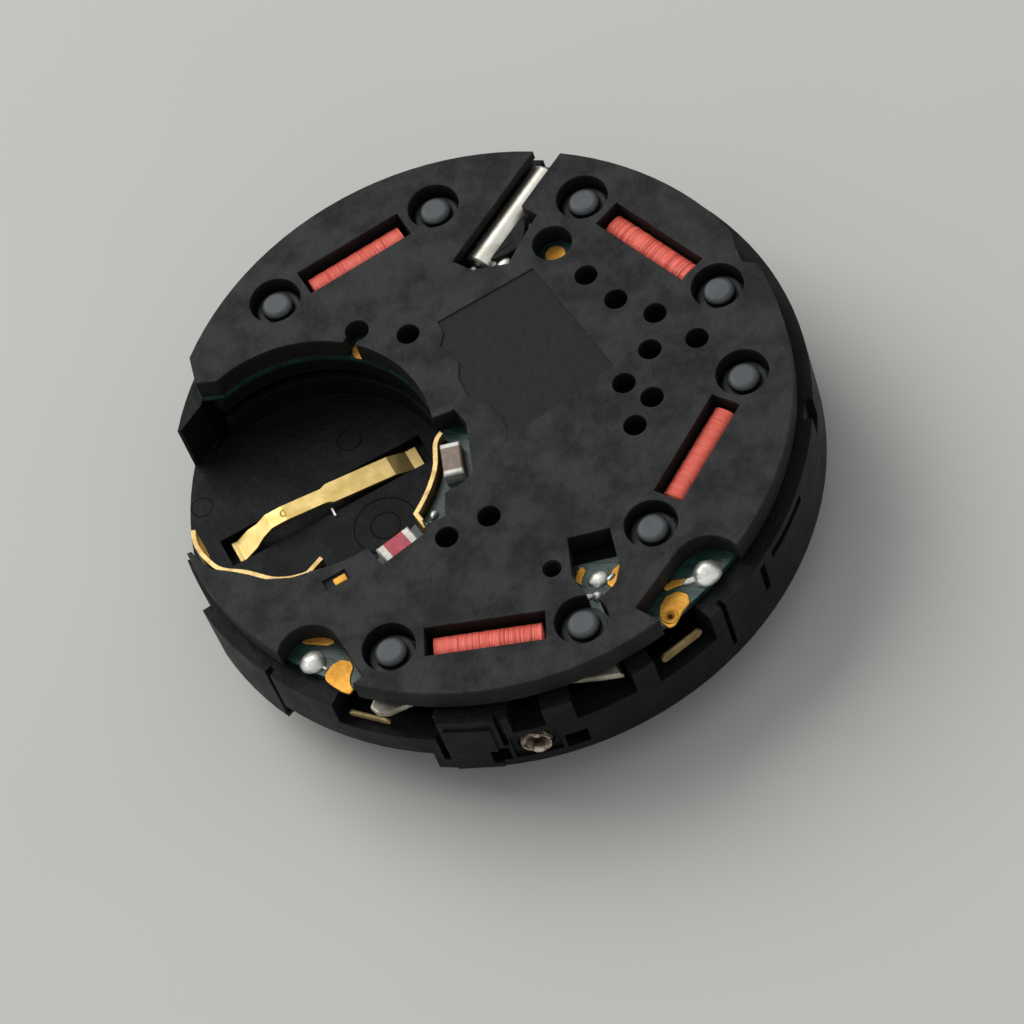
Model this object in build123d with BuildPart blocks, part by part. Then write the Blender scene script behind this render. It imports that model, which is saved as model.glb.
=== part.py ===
from build123d import *
import math
import os

os.makedirs("parts", exist_ok=True)

# A round quartz movement, dial side at Z 0 and below, battery side up. The origin is on the centre
# axis in the plane on which the dial lies. The stem comes in along -Y and the battery lies at -X.

# Heights of the main layers
seat_height = 0.5
web_top = 1.1
pocket_floor_top = 1.35
pocket_rim_top = 2.5
stator_low = 2.55
sheet_thickness = 0.4
bridge_low = 3.05
wall_top = 3.7
board_low = 3.75
board_thickness = 0.25
cover_thickness = 0.95
stator_top = stator_low + sheet_thickness
core_top = stator_top + sheet_thickness
board_top = board_low + board_thickness
cover_top = board_top + cover_thickness

# Radii of the main layers
body_radius = 11.9
seat_step = 0.7
wall_width = 1.0
bridge_inset = 0.1
board_inset = 0.8
cover_inset = 0.5
edge_break = 0.08
seat_radius = body_radius - seat_step
wall_inner_radius = body_radius - wall_width
bridge_radius = wall_inner_radius - bridge_inset
board_radius = body_radius - board_inset
cover_radius = body_radius - cover_inset

# Clearances and the overrun of every cut
overrun = 0.4
running_gap = 0.02
part_gap = 0.05
wide_gap = 0.12

# The plan follows the body. It was drawn for this radius, on a grid of this step, and the plan
# points below are shares of the step that the body's own radius gives.
drawn_radius = 11.9
drawn_step = 1.0
plan_share = body_radius / drawn_radius
grid = drawn_step * plan_share

# Battery pocket
pocket_shares = (-6.47, -0.13)
pocket_radius = 4.9 * plan_share
pocket_wall = 0.3
board_pocket_radius = 4.9 * plan_share
pocket_mouth_shares = (
    (-12.6, 3.0), (-11.0, 3.0), (-9.85, 4.25), (-9.2, 3.6), (-9.2, -2.6), (-12.6, -2.6),
)
cover_mouth_shares = ((-12.6, 5.45), (-10.15, 5.2), (-10.03, 4.03), (-9.2, 3.9), (-9.2, -2.9), (-12.6, -3.4))

# Coils and posts, in clockwise order round the cover
post_shares = (
    (-6.75, 6.86), (-0.48, 9.44), (4.99, 8.29), (9.27, 3.06),
    (9.58, -0.84), (5.51, -6.20), (2.60, -9.41), (-4.17, -8.81),
)
post_shaft_radius = 0.35
post_neck_radius = 0.52
post_head_radius = 0.58
post_flange_radius = 0.82
post_flange_height = 0.38
post_foot = 0.62
post_head_drop = 0.2
post_dome = 0.13
post_shoulder = 0.045
post_round = 0.09
post_recess_radius = 0.97
pillar_radius = 0.8
winding_width = 1.0
winding_height = 2.69
winding_rise = 0.13
winding_corner = 0.4
winding_length = 3.85
coil_window_length = 4.3
coil_window_width = 1.14
core_width = 0.7
eyelet_radius = 0.75
rotor_inset = 2.6 * plan_share
magnet_radius = 0.5
magnet_overhang = 0.04
stator_hole_radius = 0.58
stator_ring_radius = 0.94
stator_leg_width = 0.8
stator_notch_radius = 0.1
stator_leg_shares = ((0.81, 0.615), (0.47, 1.0), (0, 1.0))

# Levels of the wheels above the web, from the web up
train_sheet = 0.15
level_c = 1.7
level_d = 1.95
level_e = 2.2
pinion_overlap = 0.04
setting_top = 1.55

# Levels of the wheels on the dial side
dial_sheet = 0.12
level_p = 0.18
level_q = 0.36
level_r = 0.54
level_s = 0.72
level_room = 0.06
dial_plate_thickness = 0.15
dial_plate_margin = 0.45

# Arbors, pipes and their pivots
arbor_radius = 0.1
counter_arbor_radius = 0.12
counter_collar_radius = 0.28
counter_collar_top = 0.6
counter_post_radius = 0.1
seconds_arbor_radius = 0.245
seconds_post_radius = 0.09
cannon_bore_radius = 0.265
cannon_radius = 0.34
cannon_body_radius = 0.59
minute_post_radius = 0.43
hour_bore_radius = 0.61
hour_pipe_radius = 0.75
hour_hub_radius = 0.92
hub_radius = 0.2
stud_radius = 0.14
train_foot = 0.97
train_head = 3.4
counter_tip = -1.1
seconds_tip = -1.6
cannon_tip = -1.15
hour_tip = -0.75

# Sub-dial axes
counter_9_shares = (0, 5.5)
counter_6_shares = (5.5, 0)
small_seconds_shares = (0, -5.5)

# Tooth shape, as shares of the module
tooth_tip_share = 1.0
tooth_root_share = 1.1
tooth_land_share = 0.5

# Teeth and modules of the trains
rotor_teeth = 8
fine_module = 0.06 * plan_share
middle_module = 0.065 * plan_share
coarse_module = 0.07 * plan_share
long_module = 0.075 * plan_share
motion_module = 0.08 * plan_share
centre_module = 0.09 * plan_share


def at(shares):
    """Plan place of a pair of shares of the grid."""
    return (shares[0] * grid, shares[1] * grid)


def all_at(table_shares):
    return [at(pair) for pair in table_shares]


def level(point, height):
    """Horizontal plane at a height, centred on a plan point."""
    return Plane(origin=(point[0], point[1], height))


def save(piece, label):
    piece.part.label = label
    export_step(piece.part, f"parts/{label}.step")


def axis_between(first, first_reach, second, second_reach, side):
    """Point at the given reaches from two others. Side 1 is left of the way from first to second."""
    run_x, run_y = second[0] - first[0], second[1] - first[1]
    span = math.hypot(run_x, run_y)
    along = (first_reach**2 - second_reach**2 + span**2) / (2 * span)
    across = side * math.sqrt(first_reach**2 - along**2)
    x = first[0] + (along * run_x - across * run_y) / span
    y = first[1] + (along * run_y + across * run_x) / span
    return (x, y)


def mesh_reach(module, first_teeth, second_teeth):
    return module * (first_teeth + second_teeth) / 2


def tip_radius(module, teeth):
    return module * (teeth / 2 + tooth_tip_share)


def meshing_phase(driver, driver_teeth, driver_phase, axis, teeth):
    """Turn of a wheel whose gap meets the driver's tooth on the line of centres."""
    heading = math.atan2(axis[1] - driver[1], axis[0] - driver[0])
    pitch = 2 * math.pi / driver_teeth
    tooth_share = ((heading - driver_phase) % pitch) / pitch
    return heading + math.pi + (tooth_share - 1 / 2) * 2 * math.pi / teeth


def tooth_points(teeth, module, phase):
    """Corners of a toothed wheel with straight-sided teeth."""
    tip = tip_radius(module, teeth)
    root = module * (teeth / 2 - tooth_root_share)
    half_land = tooth_land_share * math.pi / teeth / 2
    points = []
    for tooth in range(teeth):
        middle = phase + 2 * math.pi * tooth / teeth
        gap = middle + math.pi / teeth
        for radius, angle in ((tip, middle - half_land), (tip, middle + half_land), (root, gap)):
            points.append((radius * math.cos(angle), radius * math.sin(angle)))
    return points


def turning_part(label, axis, gears, shafts, bores):
    """One turning part. Gears are (teeth, module, phase, low, high), shafts and bores (radius, low, high)."""
    with BuildPart() as piece:
        for teeth, module, phase, low, high in gears:
            with BuildSketch(level(axis, low)):
                with BuildLine():
                    Polyline(*tooth_points(teeth, module, phase), close=True)
                make_face()
            extrude(amount=high - low)
        for radius, low, high in shafts:
            with BuildSketch(level(axis, low)):
                Circle(radius)
            extrude(amount=high - low)
        for radius, low, high in bores:
            with BuildSketch(level(axis, low)):
                Circle(radius)
            extrude(amount=high - low, mode=Mode.SUBTRACT)
    save(piece, label)


# Plan places of the posts, motors and axes
centre = (0, 0)
pocket_centre = at(pocket_shares)
posts = all_at(post_shares)
motors = []
for motor in range(4):
    start, end = posts[2 * motor], posts[2 * motor + 1]
    span = math.hypot(end[0] - start[0], end[1] - start[1])
    heading = ((end[0] - start[0]) / span, (end[1] - start[1]) / span)
    middle = ((start[0] + end[0]) / 2, (start[1] + end[1]) / 2)
    rotor = (middle[0] + rotor_inset * heading[1], middle[1] - rotor_inset * heading[0])
    motors.append({"middle": middle, "heading": heading, "span": span, "rotor": rotor})
rotors = [motor["rotor"] for motor in motors]
counter_9 = at(counter_9_shares)
counter_6 = at(counter_6_shares)
small_seconds = at(small_seconds_shares)

# Trains above the web. A pinion's level is one below the wheel on the same arbor.
train_9 = {"module": fine_module, "next_module": fine_module, "teeth": 48, "pinion": 10, "last": 50}
train_6 = {"module": long_module, "next_module": coarse_module, "teeth": 48, "pinion": 10, "last": 50}
train_s = {"module": fine_module, "next_module": fine_module, "teeth": 36, "pinion": 12, "last": 32}
chrono_module = coarse_module
chrono_teeth = 60
chrono_pinion = 8
chrono_next_module = middle_module
idler_teeth = 44
seconds_teeth = 32
chrono_axis_radius = 4.0 * plan_share


def train_axis(train, rotor, last_axis, side):
    first = mesh_reach(train["module"], rotor_teeth, train["teeth"])
    second = mesh_reach(train["next_module"], train["pinion"], train["last"])
    return axis_between(rotor, first, last_axis, second, side)


intermediate_1 = train_axis(train_9, rotors[0], counter_9, -1)
intermediate_2 = train_axis(train_6, rotors[1], counter_6, -1)
intermediate_4 = train_axis(train_s, rotors[3], small_seconds, 1)
chrono_reach = mesh_reach(chrono_module, rotor_teeth, chrono_teeth)
intermediate_3 = axis_between(rotors[2], chrono_reach, centre, chrono_axis_radius, 1)
idler_reach = mesh_reach(chrono_next_module, chrono_pinion, idler_teeth)
seconds_reach = mesh_reach(chrono_next_module, idler_teeth, seconds_teeth)
idler_3 = axis_between(intermediate_3, idler_reach, centre, seconds_reach, 1)

# Time train and setting wheels on the dial side
seconds_pinion = 6
third_teeth = 60
third_pinion = 10
centre_teeth = 60
cannon_teeth = 10
minute_teeth = 30
minute_pinion = 8
hour_teeth = 32
transfer_teeth = 44
setting_teeth = 20
third_reach = mesh_reach(long_module, seconds_pinion, third_teeth)
centre_reach = mesh_reach(centre_module, third_pinion, centre_teeth)
third_axis = axis_between(small_seconds, third_reach, centre, centre_reach, 1)
minute_reach = mesh_reach(motion_module, cannon_teeth, minute_teeth)
minute_angle = -60
minute_axis = (
    minute_reach * math.cos(math.radians(minute_angle)),
    minute_reach * math.sin(math.radians(minute_angle)),
)
setting_shares = (1.2, -6.35)
setting_axis = at(setting_shares)
transfer_axis = axis_between(
    minute_axis,
    mesh_reach(motion_module, minute_teeth, transfer_teeth),
    setting_axis,
    mesh_reach(motion_module, transfer_teeth, setting_teeth),
    1,
)

# Stem, setting work and the rim
stem_height = 1.65
stem_bore_radius = 0.45
bush_radius = 0.65
bush_proud = 0.1
bush_end = body_radius + bush_proud
bush_inner_end = wall_inner_radius + part_gap
stem_flat_depth = 0.15
stem_flat_width = 1.7
stem_flat_height = 1.44
pinion_outer_end = 8.6 * plan_share
pinion_length = 1.2
pinion_radius = 0.55
pinion_bore_radius = 0.28
pinion_groove_radius = 0.42
pinion_groove_width = 0.3
pinion_groove_start = 0.45
trough_radius = 0.77
trough_outer_end = 9.4 * plan_share
trough_inner_end = 6.85 * plan_share
lever_low = 1.6
lever_sheet = 0.16
lever_hub_radius = 0.5
lever_stud_radius = 0.25
spacer_radius = 0.4
yoke_finger_width = 0.16
yoke_axis_shares = (3.4, -7.4)
yoke_arm_shares = ((3.4, -7.4), (2.2, -8.0), (0.95, -8.0))
yoke_finger_shares = ((0.95, -8.0), (0.46, -8.0))
lever_axis_shares = (-2.7, -8.0)
lever_arm_shares = ((-2.7, -8.0), (-1.5, -9.3), (-0.62, -9.75))
arm_width = 0.5

# Cuts through the rim wall: start and end angle, then low and high ends as shares of the wall's top
side_window_shares = (
    (-124, -106, 0.68, 1.2), (-82, -71, 0.68, 1.2), (-66.8, -54.8, 0.62, 1.2),
    (-98.0, -94.8, 0.24, 0.46), (-85.2, -81.2, 0.24, 0.46), (-93, -87.2, 0.72, 1.2),
)
rim_slit_shares = (
    (-138.2, -137.0, 0.2, 1.2), (-52.2, -51.2, 0.3, 1.2), (-42.2, -40.8, 0.5, 0.9),
    (-38.5, -26.5, 0.8, 0.9), (-12.5, -8.5, 0.7, 1.2), (-106.4, -105.2, 0.3, 1.2),
    (-95.4, -94.4, 0.5, 1.2), (40, 41.2, 0.3, 1.2), (96, 97.2, 0.3, 1.2), (150, 151.2, 0.3, 1.2),
)
window_inset = 1.8
window_inner_radius = body_radius - window_inset
bridge_gap_shares = ((-124, -106, 0.94), (-106.5, -81.5, 0.88), (-82, -71, 0.94), (-66.8, -54.8, 0.94))
slit_depth = 0.3
undercut_angles = (-138, -108)
relief_angles = (142, 204)
relief_depth = 0.36
undercut_top = 1.5
block_angles = (-104.5, -96.5)
block_low = 0.6
block_top = 3.2
block_proud = 0.1
block_radius = body_radius + block_proud

# Contacts and pusher plates
contact_sheet = 0.12
positive_sheet = 0.17
board_slot_width = 0.36
contact_slot_width = 0.64
contact_low = 2.6
contact_top = 4.45
left_contact_shares = (
    (-10.75, -1.9), (-10.65, -2.7), (-10.3, -3.35), (-9.95, -3.75), (-9.1, -4.1),
    (-8.1, -4.65), (-7.3, -4.8), (-6.8, -4.75), (-6.25, -4.25),
)
right_contact_shares = (
    (-1.4, -0.15), (-1.65, -0.5), (-1.75, -1.3), (-1.95, -2.0), (-2.3, -2.7), (-2.7, -3.3), (-2.4, -3.95),
)
negative_root_shares = (-2.83, 1.42)
negative_tip_shares = (-10.0, -1.03)
negative_width = 0.9
negative_tip_width = 0.67
negative_slot_depth = 0.45
negative_slot_width = 1.25
negative_dip_share = 0.86
negative_dip_depth = 0.26
negative_height_shares = (
    (0, 0.74), (0.055, 0.74), (0.15, 0.95), (0.71, 1.37), (0.79, 1.37), (0.97, 0.75), (1.0, 0.78),
)
negative_neck_shares = (0.47, 0.5, 0.85, 0.9)
negative_flare_width = 0.9
pusher_inset = 0.4
pusher_reach = 1.2
pusher_radius = body_radius - pusher_inset
pusher_root_radius = pusher_radius - pusher_reach
pusher_low = 2.65
pusher_top = 3.35
pusher_left_angles = (-122.6, -113.5)
pusher_right_angles = (-56.2, -65.5)
plate_low = 3.52
plate_inset = 0.15
plate_width = 1.5
plate_outer_radius = body_radius - plate_inset
plate_inner_radius = plate_outer_radius - plate_width
plate_left_angles = (-117.5, -108.5)
plate_right_angles = (-81, -72)

# Dial feet and dial side screws
foot_shares = ((-5.0, 9.0), (5.0, -9.0))
foot_bore_radius = 0.36
foot_bore_depth = 0.9
screw_shares = ((-2.6, 2.6), (3.0, 2.2), (-3.3, -4.3), (3.9, -6.2))
screw_ear_radius = 0.75
screw_head_radius = 0.42
screw_head_height = 0.08
screw_shank_radius = 0.2
screw_length = 0.8

# Crystal and parts on the board
can_radius = 0.6
can_height = 3.9
can_start_shares = (0.72, 6.95)
can_end_shares = (3.75, 10.42)
can_slot_width = 1.3
slot_top_width = 0.98
slot_ceiling = 4.55
slot_start_shares = (0.3, 6.45)
slot_end_shares = (4.6, 11.4)
solder_bay_shares = ((2.75, 8.53), (3.27, 7.97), (2.44, 6.84), (1.97, 6.1), (0.67, 6.2), (1.6, 8.0))
chip_shares = (2.05, 2.2)
chip_size = (3.0, 2.6)
chip_turn = 22
chip_height = 0.4
chip_room = 0.15
capacitor_shares = (-1.15, -1.4)
capacitor_size = (0.74, 1.38)
capacitor_height = 0.55
diode_shares = (-3.49, -4.43)
diode_size = (1.4, 0.76)
diode_turn = 29
diode_height = 0.5
small_part_edge = 0.06
pad_height = 0.04
pad_shares = (
    (-3.95, 4.5, 0.36), (3.6, 6.75, 0.38), (5.67, -9.07, 0.48), (-6.1, -9.03, 0.46),
    (2.62, -6.95, 0.2), (3.9, -7.1, 0.2), (-6.9, -7.55, 0.3),
)
solder_shares = (
    (6.99, -8.05, 0.55, 0.36), (-7.05, -8.2, 0.46, 0.34), (1.75, 6.75, 0.28, 0.24),
    (3.3, -7.3, 0.3, 0.22), (3.15, -8.1, 0.26, 0.2), (-2.0, -3.5, 0.2, 0.16),
)

# Openings of the cover, as shares of the grid
access_shares = (
    (-2.04, 4.04), (4.68, 4.82), (5.60, 3.48), (6.90, 2.50), (8.22, 1.03), (6.50, 1.01),
    (5.39, -0.17), (6.29, -1.02), (5.53, -2.03), (-0.06, -4.42), (-1.64, -4.89),
)
access_radius = 0.43
sight_shares = (3.65, 6.57)
sight_radius = 0.75
conical_shares = (1.86, -7.12)
conical_radius = 0.35
conical_taper = 12
keyhole_shares = (-3.88, 4.7)
keyhole_radius = 0.45
keyhole_neck_shares = (-4.45, 3.9)
keyhole_neck_width = 0.5
square_shares = ((2.55, -6.03), (4.07, -6.0), (4.2, -7.6), (3.95, -8.3), (3.1, -8.9), (2.5, -7.6))
board_square_shares = ((2.5, -5.7), (4.15, -5.7), (4.15, -6.6), (2.5, -6.6))
capacitor_bay_shares = (
    (-1.9, 0.15), (-0.75, 0.35), (-0.4, -0.3), (-0.4, -2.5), (-0.9, -2.85), (-1.5, -3.05),
    (-1.6, -4.0), (-2.3, -4.2), (-2.6, -2.85),
)
diode_bay_shares = ((-4.48, -4.61), (-4.02, -5.44), (-2.32, -4.49), (-2.55, -3.5), (-3.2, -3.2))
tail_shares = (-5.6, -5.58)
tail_size = (0.46, 0.26)
tail_drop = 0.08
tail_turn = 20
tail_bay_shares = (-5.74, -5.62)
tail_bay_size = (0.92, 0.46)
right_scallop_shares = ((7.15, -8.45), (5.45, -10.3))
right_scallop_radius = 1.3
left_scallop_shares = ((-7.0, -8.35), (-6.2, -10.2))
left_scallop_radius = 1.15
rim_notch_shares = ((10.05, 5.8), (10.15, 4.56), (10.3, 3.86), (10.95, 3.55), (11.8, 4.2), (11.2, 6.2))
panel_shares = (
    (-0.93, 4.27), (2.82, 5.66), (5.14, 0.64), (1.35, -1.21), (1.0, -0.95), (0.85, -0.3),
    (0.2, 0.65), (-0.2, 0.75), (-0.45, 1.6), (-0.35, 2.3), (-0.95, 3.2), (-0.75, 3.75),
)
panel_depth = 0.05


def sector_points(start, end, inner, outer):
    """Corners of a block between two angles and two radii."""
    points = []
    for angle, radius in ((start, inner), (start, outer), (end, outer), (end, inner)):
        points.append((radius * math.cos(math.radians(angle)), radius * math.sin(math.radians(angle))))
    return points


def motor_plane(motor, height):
    """Plane with its X along the line of a motor's two posts and its Y outward."""
    middle, heading = motor["middle"], motor["heading"]
    return Plane(origin=(middle[0], middle[1], height), x_dir=(heading[0], heading[1], 0), z_dir=(0, 0, 1))


def contact_line(path):
    """Line of a positive contact in plan: one smooth run and a straight tail."""
    Spline(*path[:-1])
    Line(path[-2], path[-1])


def stem_plane(distance):
    """Plane across the stem axis, facing outward, at a distance from the centre axis."""
    return Plane(origin=(0, -distance, stem_height), x_dir=(1, 0, 0), z_dir=(0, -1, 0))


# Slot of the crystal, as a line in plan
slot_line = [at(slot_start_shares), at(slot_end_shares)]

# Wheel recesses on the dial side: axis, tip radius and roof
dial_recesses = (
    (centre, tip_radius(centre_module, centre_teeth), level_r + dial_sheet + level_room),
    (third_axis, tip_radius(long_module, third_teeth), level_s + dial_sheet + level_room),
    (minute_axis, tip_radius(motion_module, minute_teeth), level_q + dial_sheet + level_room),
    (transfer_axis, tip_radius(motion_module, transfer_teeth), level_q + dial_sheet + level_room),
    (setting_axis, tip_radius(motion_module, setting_teeth), web_top + overrun),
    (small_seconds, tip_radius(long_module, seconds_pinion), level_s + dial_sheet + level_room),
)
screws = all_at(screw_shares)
train_pivots = rotors + [intermediate_1, intermediate_2, intermediate_3, intermediate_4]
counter_axes = [counter_9, counter_6, small_seconds]
contact_paths = [all_at(left_contact_shares), all_at(right_contact_shares)]

# Main plate
with BuildPart() as main_plate:
    with BuildSketch(Plane.XY):
        Circle(seat_radius)
    extrude(amount=seat_height)
    with BuildSketch(Plane.XY.offset(seat_height)):
        Circle(body_radius)
    extrude(amount=web_top - seat_height)
    with BuildSketch(Plane.XY.offset(web_top)):
        Circle(body_radius)
        Circle(wall_inner_radius, mode=Mode.SUBTRACT)
    extrude(amount=wall_top - web_top)
    with BuildSketch(Plane.XY.offset(web_top)):
        with Locations(pocket_centre):
            Circle(pocket_radius + pocket_wall)
        Circle(body_radius, mode=Mode.INTERSECT)
    extrude(amount=pocket_rim_top - web_top)
    with BuildSketch(Plane.XY.offset(web_top)):
        with Locations(*posts):
            Circle(pillar_radius)
    extrude(amount=stator_low - web_top)
    with BuildSketch(Plane.XY.offset(block_low)):
        Polygon(*sector_points(*block_angles, wall_inner_radius, block_radius), align=None)
    extrude(amount=block_top - block_low)
    with BuildSketch(Plane.XY.offset(web_top)):
        with Locations(at(yoke_axis_shares), at(lever_axis_shares)):
            Circle(spacer_radius)
    extrude(amount=lever_low - part_gap - web_top)
    with BuildSketch(Plane.XY.offset(web_top)):
        with Locations(at(yoke_axis_shares), at(lever_axis_shares)):
            Circle(lever_stud_radius)
    extrude(amount=lever_low + lever_sheet + part_gap - web_top)
    with BuildSketch(level(idler_3, web_top)):
        Circle(stud_radius)
    extrude(amount=level_c + train_sheet + part_gap - web_top)
    # Battery pocket and its mouth at the rim
    with BuildSketch(Plane.XY.offset(pocket_floor_top)):
        with Locations(pocket_centre):
            Circle(pocket_radius)
        Polygon(*all_at(pocket_mouth_shares), align=None)
    extrude(amount=wall_top + overrun - pocket_floor_top, mode=Mode.SUBTRACT)
    # Slot under the negative contact
    slot_start, slot_end = at(negative_root_shares), at(negative_tip_shares)
    slot_run = (slot_end[0] - slot_start[0], slot_end[1] - slot_start[1])
    slot_length = math.hypot(*slot_run)
    slot_heading = (slot_run[0] / slot_length, slot_run[1] / slot_length)
    slot_middle = ((slot_start[0] + slot_end[0]) / 2, (slot_start[1] + slot_end[1]) / 2)
    slot_plane = Plane(
        origin=(slot_middle[0], slot_middle[1], pocket_floor_top - negative_slot_depth),
        x_dir=(slot_heading[0], slot_heading[1], 0),
        z_dir=(0, 0, 1),
    )
    slot_reach = slot_length / 2 + negative_slot_width / 4
    with BuildSketch(slot_plane):
        Rectangle(2 * slot_reach, negative_slot_width)
    extrude(amount=negative_slot_depth + overrun, mode=Mode.SUBTRACT)
    # The slot is deeper at its outer end, where the blade's tip goes down
    dip_length = slot_reach - (negative_dip_share - 1 / 2) * slot_length
    with BuildSketch(slot_plane.offset(-negative_dip_depth)):
        with Locations((slot_reach, 0)):
            Rectangle(dip_length, negative_slot_width, align=(Align.MAX, Align.CENTER))
    extrude(amount=negative_dip_depth + overrun, mode=Mode.SUBTRACT)
    # Room for the positive contacts in the wall
    for path in contact_paths:
        with BuildSketch(Plane.XY.offset(pocket_rim_top)):
            with BuildLine():
                Polyline(*path)
            trace(line_width=contact_slot_width)
        extrude(amount=wall_top + overrun - pocket_rim_top, mode=Mode.SUBTRACT)
    # Bed of the crystal can in the top of the wall
    with BuildSketch(Plane.XY.offset(can_height - can_radius - part_gap)):
        with BuildLine():
            Polyline(*slot_line)
        trace(line_width=can_slot_width)
    extrude(amount=wall_top, mode=Mode.SUBTRACT)
    # Bores for posts, arbors, dial feet and screws
    with BuildSketch(Plane.XY.offset(post_foot - running_gap)):
        with Locations(*posts):
            Circle(post_shaft_radius + running_gap)
    extrude(amount=stator_low + overrun - post_foot, mode=Mode.SUBTRACT)
    with BuildSketch(Plane.XY.offset(train_foot - running_gap)):
        with Locations(*train_pivots):
            Circle(arbor_radius + running_gap)
    extrude(amount=web_top + overrun - train_foot, mode=Mode.SUBTRACT)
    with BuildSketch(Plane.XY):
        with Locations(*counter_axes):
            Circle(counter_arbor_radius + running_gap)
        with Locations(centre):
            Circle(seconds_arbor_radius + running_gap)
    extrude(amount=web_top + overrun, mode=Mode.SUBTRACT)
    with BuildSketch(Plane.XY):
        with Locations(*counter_axes):
            Circle(counter_collar_radius + running_gap)
    extrude(amount=counter_collar_top + part_gap, mode=Mode.SUBTRACT)
    with BuildSketch(Plane.XY):
        with Locations(*all_at(foot_shares)):
            Circle(foot_bore_radius)
    extrude(amount=foot_bore_depth, mode=Mode.SUBTRACT)
    with BuildSketch(Plane.XY):
        with Locations(*screws):
            Circle(screw_shank_radius + running_gap)
    extrude(amount=screw_length + running_gap, mode=Mode.SUBTRACT)
    with BuildSketch(level(third_axis, 0)):
        Circle(arbor_radius + running_gap)
    extrude(amount=train_foot + part_gap, mode=Mode.SUBTRACT)
    # Dial side recesses
    for axis, tip, roof in dial_recesses:
        with BuildSketch(level(axis, 0)):
            Circle(tip + wide_gap)
        extrude(amount=roof, mode=Mode.SUBTRACT)
        with BuildSketch(level(axis, 0)):
            Circle(tip + wide_gap + dial_plate_margin)
        extrude(amount=dial_plate_thickness, mode=Mode.SUBTRACT)
    with BuildSketch(Plane.XY):
        with Locations(*screws):
            Circle(screw_ear_radius)
    extrude(amount=dial_plate_thickness, mode=Mode.SUBTRACT)
    # Stem bore and the trough of the sliding pinion
    with BuildSketch(stem_plane(trough_inner_end)):
        Circle(trough_radius)
    extrude(amount=trough_outer_end - trough_inner_end, mode=Mode.SUBTRACT)
    with BuildSketch(stem_plane(wall_inner_radius - overrun)):
        Circle(bush_radius)
    extrude(amount=body_radius + 2 * overrun - wall_inner_radius, mode=Mode.SUBTRACT)
    with BuildSketch(stem_plane(body_radius - stem_flat_depth)):
        Rectangle(stem_flat_width, stem_flat_height)
    extrude(amount=stem_flat_depth + overrun, mode=Mode.SUBTRACT)
    # Windows and slits in the rim
    for start, end, low_share, high_share in side_window_shares:
        with BuildSketch(Plane.XY.offset(low_share * wall_top)):
            Polygon(*sector_points(start, end, window_inner_radius, body_radius + overrun), align=None)
        extrude(amount=(high_share - low_share) * wall_top, mode=Mode.SUBTRACT)
    for start, end, low_share, high_share in rim_slit_shares:
        with BuildSketch(Plane.XY.offset(low_share * wall_top)):
            Polygon(*sector_points(start, end, body_radius - slit_depth, body_radius + overrun), align=None)
        extrude(amount=(high_share - low_share) * wall_top, mode=Mode.SUBTRACT)
    with BuildSketch(Plane.XY.offset(seat_height)):
        Circle(body_radius + overrun)
        Circle(body_radius - relief_depth, mode=Mode.SUBTRACT)
        Polygon(*sector_points(*relief_angles, 0, 2 * body_radius), align=None, mode=Mode.INTERSECT)
    extrude(amount=wall_top, mode=Mode.SUBTRACT)
    with BuildSketch(Plane.XY.offset(-overrun)):
        Polygon(*sector_points(*undercut_angles, seat_radius, block_radius + overrun), align=None)
    extrude(amount=undercut_top + overrun, mode=Mode.SUBTRACT)
save(main_plate, "main_plate")

# Train bridge
with BuildPart() as train_bridge:
    with BuildSketch(Plane.XY.offset(bridge_low)):
        Circle(bridge_radius)
        with Locations(pocket_centre):
            Circle(pocket_radius, mode=Mode.SUBTRACT)
        Polygon(*all_at(pocket_mouth_shares), align=None, mode=Mode.SUBTRACT)
    extrude(amount=wall_top - bridge_low)
    for motor in motors:
        with BuildSketch(motor_plane(motor, bridge_low)):
            Rectangle(coil_window_length, winding_width + 2 * wide_gap)
            with Locations((-motor["span"] / 2, 0), (motor["span"] / 2, 0)):
                Circle(post_neck_radius + part_gap)
        extrude(amount=wall_top + overrun - bridge_low, mode=Mode.SUBTRACT)
        with BuildSketch(motor_plane(motor, bridge_low)):
            Rectangle(motor["span"], core_width + 2 * part_gap)
            with Locations((-motor["span"] / 2, 0), (motor["span"] / 2, 0)):
                Circle(eyelet_radius + part_gap)
        extrude(amount=core_top + part_gap - bridge_low, mode=Mode.SUBTRACT)
    with BuildSketch(Plane.XY.offset(can_height - can_radius - part_gap)):
        with BuildLine():
            Polyline(*slot_line)
        trace(line_width=can_slot_width)
    extrude(amount=wall_top, mode=Mode.SUBTRACT)
    for path in contact_paths:
        with BuildSketch(Plane.XY.offset(bridge_low)):
            with BuildLine():
                Polyline(*path)
            trace(line_width=contact_slot_width)
        extrude(amount=wall_top, mode=Mode.SUBTRACT)
    with BuildSketch(Plane.XY.offset(bridge_low)):
        with Locations(*(train_pivots + counter_axes)):
            Circle(counter_arbor_radius + running_gap)
        with Locations(centre):
            Circle(seconds_arbor_radius + running_gap)
    extrude(amount=train_head + running_gap - bridge_low, mode=Mode.SUBTRACT)
    for start, end, inner_share in bridge_gap_shares:
        with BuildSketch(Plane.XY.offset(bridge_low)):
            Polygon(*sector_points(start, end, inner_share * bridge_radius, body_radius), align=None)
        extrude(amount=wall_top, mode=Mode.SUBTRACT)
save(train_bridge, "train_bridge")

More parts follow.
